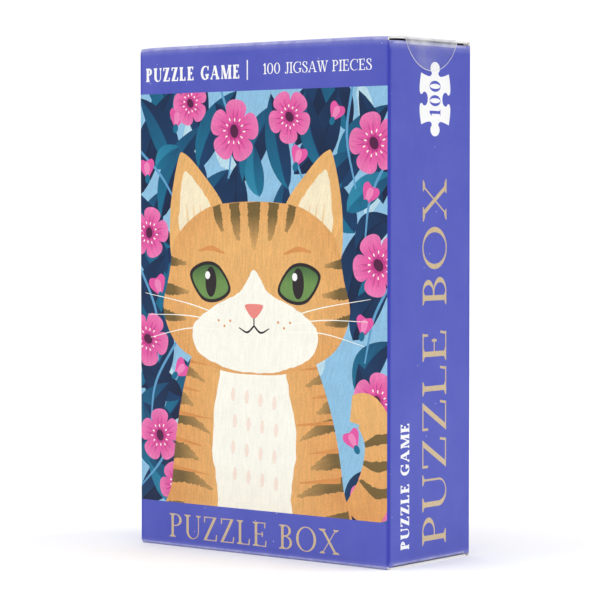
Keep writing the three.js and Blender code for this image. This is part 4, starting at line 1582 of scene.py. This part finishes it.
def add_bag():
    """A clear bag that clings loosely to the pieces, with a vent hole and a crimped end."""
    low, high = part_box("inner_bag")
    middle_y = (low.y + high.y) / 2 / MM
    points = []
    for z in np.linspace(low.z / MM + 0.3, high.z / MM - 2.6, BAG_LEVELS):
        half_width, half_depth = bag_section(z, low, high)
        for x, y in rounded_ring(half_width, half_depth):
            points.append(crumpled(x, y, z, half_width, half_depth))
    faces = ring_faces(0, BAG_LEVELS, BAG_RING)
    add_bag_end(points, faces, (BAG_LEVELS - 1) * BAG_RING, high.z / MM, 1)
    add_bag_end(points, faces, 0, low.z / MM, -1)
    places = [(x * MM, (y + middle_y) * MM, z * MM) for x, y, z in points]
    mesh = new_mesh("clear_bag", places, faces, [BAG_FILM])
    bag = finished("clear_bag", mesh, "bag", ["inner_bag"])
    film = bag.modifiers.new("film", "SOLIDIFY")
    film.thickness = BAG_FILM_MM * MM
    film.offset = -1
    add_bag_fin(middle_y, high)


def add_bag_end(points, faces, first, level, way):
    """Closes the bag over the ring that starts at a point. The top end has a round vent hole."""
    rim = np.array([point[:2] for point in points[first:first + BAG_RING]])
    rim_z = points[first][2]
    vent = ellipse(0, 0, VENT_RADIUS_MM, points=24)
    draw = random.Random(21)
    dots = [(x + draw.uniform(-0.4, 0.4), y + draw.uniform(-0.4, 0.4))
            for x in np.arange(-36, 36.5, DOT_STEP_MM) for y in np.arange(-13, 13.5, DOT_STEP_MM)
            if math.hypot(x, y) > 1.4 * VENT_RADIUS_MM]
    flat, triangles, owner = partition(rim, [Layer("white", vent)] if way > 0 else [], dots=dots)
    reach = np.abs(rim).max(0)
    numbers = []
    for x, y in flat:
        nearest = np.hypot(*(rim - (x, y)).T)
        if nearest.min() < 1e-3:
            numbers.append(first + int(nearest.argmin()))
            continue
        inwards = min(reach[0] - abs(x), reach[1] - abs(y))
        rise = 1 - math.exp(-inwards / 2.2)
        wave = film_noise(x * 0.13, y * 0.22, 3.0 + way) - abs(film_noise(x * 0.35, y * 0.4, 7.0 + way))
        z = rim_z + way * rise * (abs(level - rim_z) - 0.75 + 0.5 * wave)
        numbers.append(len(points))
        points.append((x, y, z if way > 0 else max(z, level + 0.05)))
    for triangle in triangles[owner < 0]:
        faces.append(tuple(numbers[k] for k in triangle[::way]))


def add_bag_fin(middle_y, high):
    """The crimped strip that closes the bag, folded down flat near the back."""
    rows, columns = FIN_ROWS, FIN_COLUMNS
    width, length = FIN_MM
    points, faces = [], []
    for side in (0, 1):
        for r in range(rows):
            for c in range(columns):
                x = width * (c / (columns - 1) - 0.5)
                y = FIN_START_MM + length * r / (rows - 1)
                ridge = FIN_RIDGE_MM * (1 if r % 2 else -1)
                lift = 0.22 * film_noise(x * 0.09, y * 0.1, 1.5)
                z = high.z - (0.55 - lift - ridge + 0.16 * side) * MM
                points.append((x * MM, (middle_y + y) * MM, z))
    sheet = rows * columns
    for r in range(rows - 1):
        for c in range(columns - 1):
            a = r * columns + c
            quad = (a, a + 1, a + columns + 1, a + columns)
            faces += [quad, tuple(corner + sheet for corner in reversed(quad))]
    grid = np.arange(sheet).reshape(rows, columns)
    edge = np.concatenate([grid[0], grid[1:, -1], grid[-1, -2::-1], grid[-2:0:-1, 0]]).tolist()
    for a, b in zip(edge, edge[1:] + edge[:1]):
        faces.append((b, a, a + sheet, b + sheet))
    finished("bag_fin", new_mesh("bag_fin", points, faces, [BAG_FILM]), "bag", ())


# ---------------------------------------------------------------- light, floor and camera

AZIMUTH, ELEVATION = 38.85, 2.17
CAMERA_DISTANCE = 0.695
LOOK_AT_HEIGHT = 0.0694
LOOK_AT_LEFT = 0.0006
LIGHT_TARGET = Vector((0, 0, 0.07))
LENS_MM = 150
FLOOR_RADIUS = 0.75


def direction(azimuth, elevation):
    """The way from the carton to a camera or light at those angles in degrees. Azimuth 0 is the front."""
    az, el = math.radians(azimuth), math.radians(elevation)
    return Vector((math.sin(az) * math.cos(el), -math.cos(az) * math.cos(el), math.sin(el)))


def add_light(name, azimuth, elevation, distance, size, power, colour=WHITE):
    """A square soft light aimed at the middle of the box."""
    light = bpy.data.lights.new(name, "AREA")
    light.shape = "SQUARE"
    light.size = size
    light.energy = power
    light.color = colour
    lamp = added(name, light)
    way = direction(azimuth, elevation)
    lamp.location = LIGHT_TARGET + way * distance
    lamp.rotation_euler = way.to_track_quat("Z", "Y").to_euler()


def add_world():
    """White behind everything, and a softer light from the side the camera is on."""
    world = bpy.data.worlds.new("studio")
    bpy.context.scene.world = world
    nodes = Nodes(world)
    nodes.tree.nodes.clear()
    way = nodes.add("TexCoord").outputs["Generated"]
    camera_side = direction(AZIMUTH, 0) + UP * 0.1
    towards = nodes.add("VectorMath", {0: way, 1: camera_side}, operation="DOT_PRODUCT")
    strength = nodes.remap(towards.outputs["Value"], 0.80, 0.99, 0.50, 0.26)
    lit = nodes.add("Background", {"Color": (*WHITE, 1), "Strength": strength})
    plain = nodes.add("Background", {"Color": (*WHITE, 1), "Strength": 1.05})
    seen = nodes.add("LightPath").outputs["Is Camera Ray"]
    chooser = nodes.add("MixShader", {0: seen, 1: lit.outputs[0], 2: plain.outputs[0]})
    nodes.add("OutputWorld", {"Surface": chooser.outputs[0]})


def add_floor():
    """A wide pale floor under the box."""
    nodes = new_material("pale_floor")
    tone = nodes.cloud(3, 2, 0.93, 0.95)
    grey = nodes.add("CombineColor", dict.fromkeys(("Red", "Green", "Blue"), tone))
    nodes.fill(nodes.shader, {"Base Color": grey.outputs[0], "Roughness": 0.9, "Specular IOR Level": 0.1})
    ring = ellipse(0, 0, FLOOR_RADIUS, points=96)
    mesh = new_mesh("pale_floor", [(x, y, BOTTOM) for x, y in ring], [tuple(range(len(ring)))], [nodes.owner])
    floor = added("pale_floor", mesh)


def add_camera():
    camera = bpy.data.cameras.new("camera")
    camera.lens = LENS_MM
    camera.sensor_width = 36
    camera.clip_start = 0.01
    holder = added("camera", camera)
    back = direction(AZIMUTH, ELEVATION)
    target = UP * LOOK_AT_HEIGHT - direction(AZIMUTH + 90, 0) * LOOK_AT_LEFT
    holder.location = target + back * CAMERA_DISTANCE
    holder.rotation_euler = back.to_track_quat("Z", "Y").to_euler()
    bpy.context.scene.camera = holder


def add_studio():
    add_world()
    add_floor()
    add_light("key", -30, 38, 1.3, 0.9, 4.8, (1.0, 0.99, 0.98))
    add_light("side", 124, 36, 1.3, 0.9, 4.9, (0.98, 0.99, 1.0))
    add_light("overhead", 0, 90, 1.6, 2.2, 22.0)
    add_camera()
    bpy.context.scene.view_settings.view_transform = "Standard"


add_tube()
add_closure("top", 1)
add_closure("bottom", -1)
add_seal()
add_pieces()
add_bag()
add_studio()
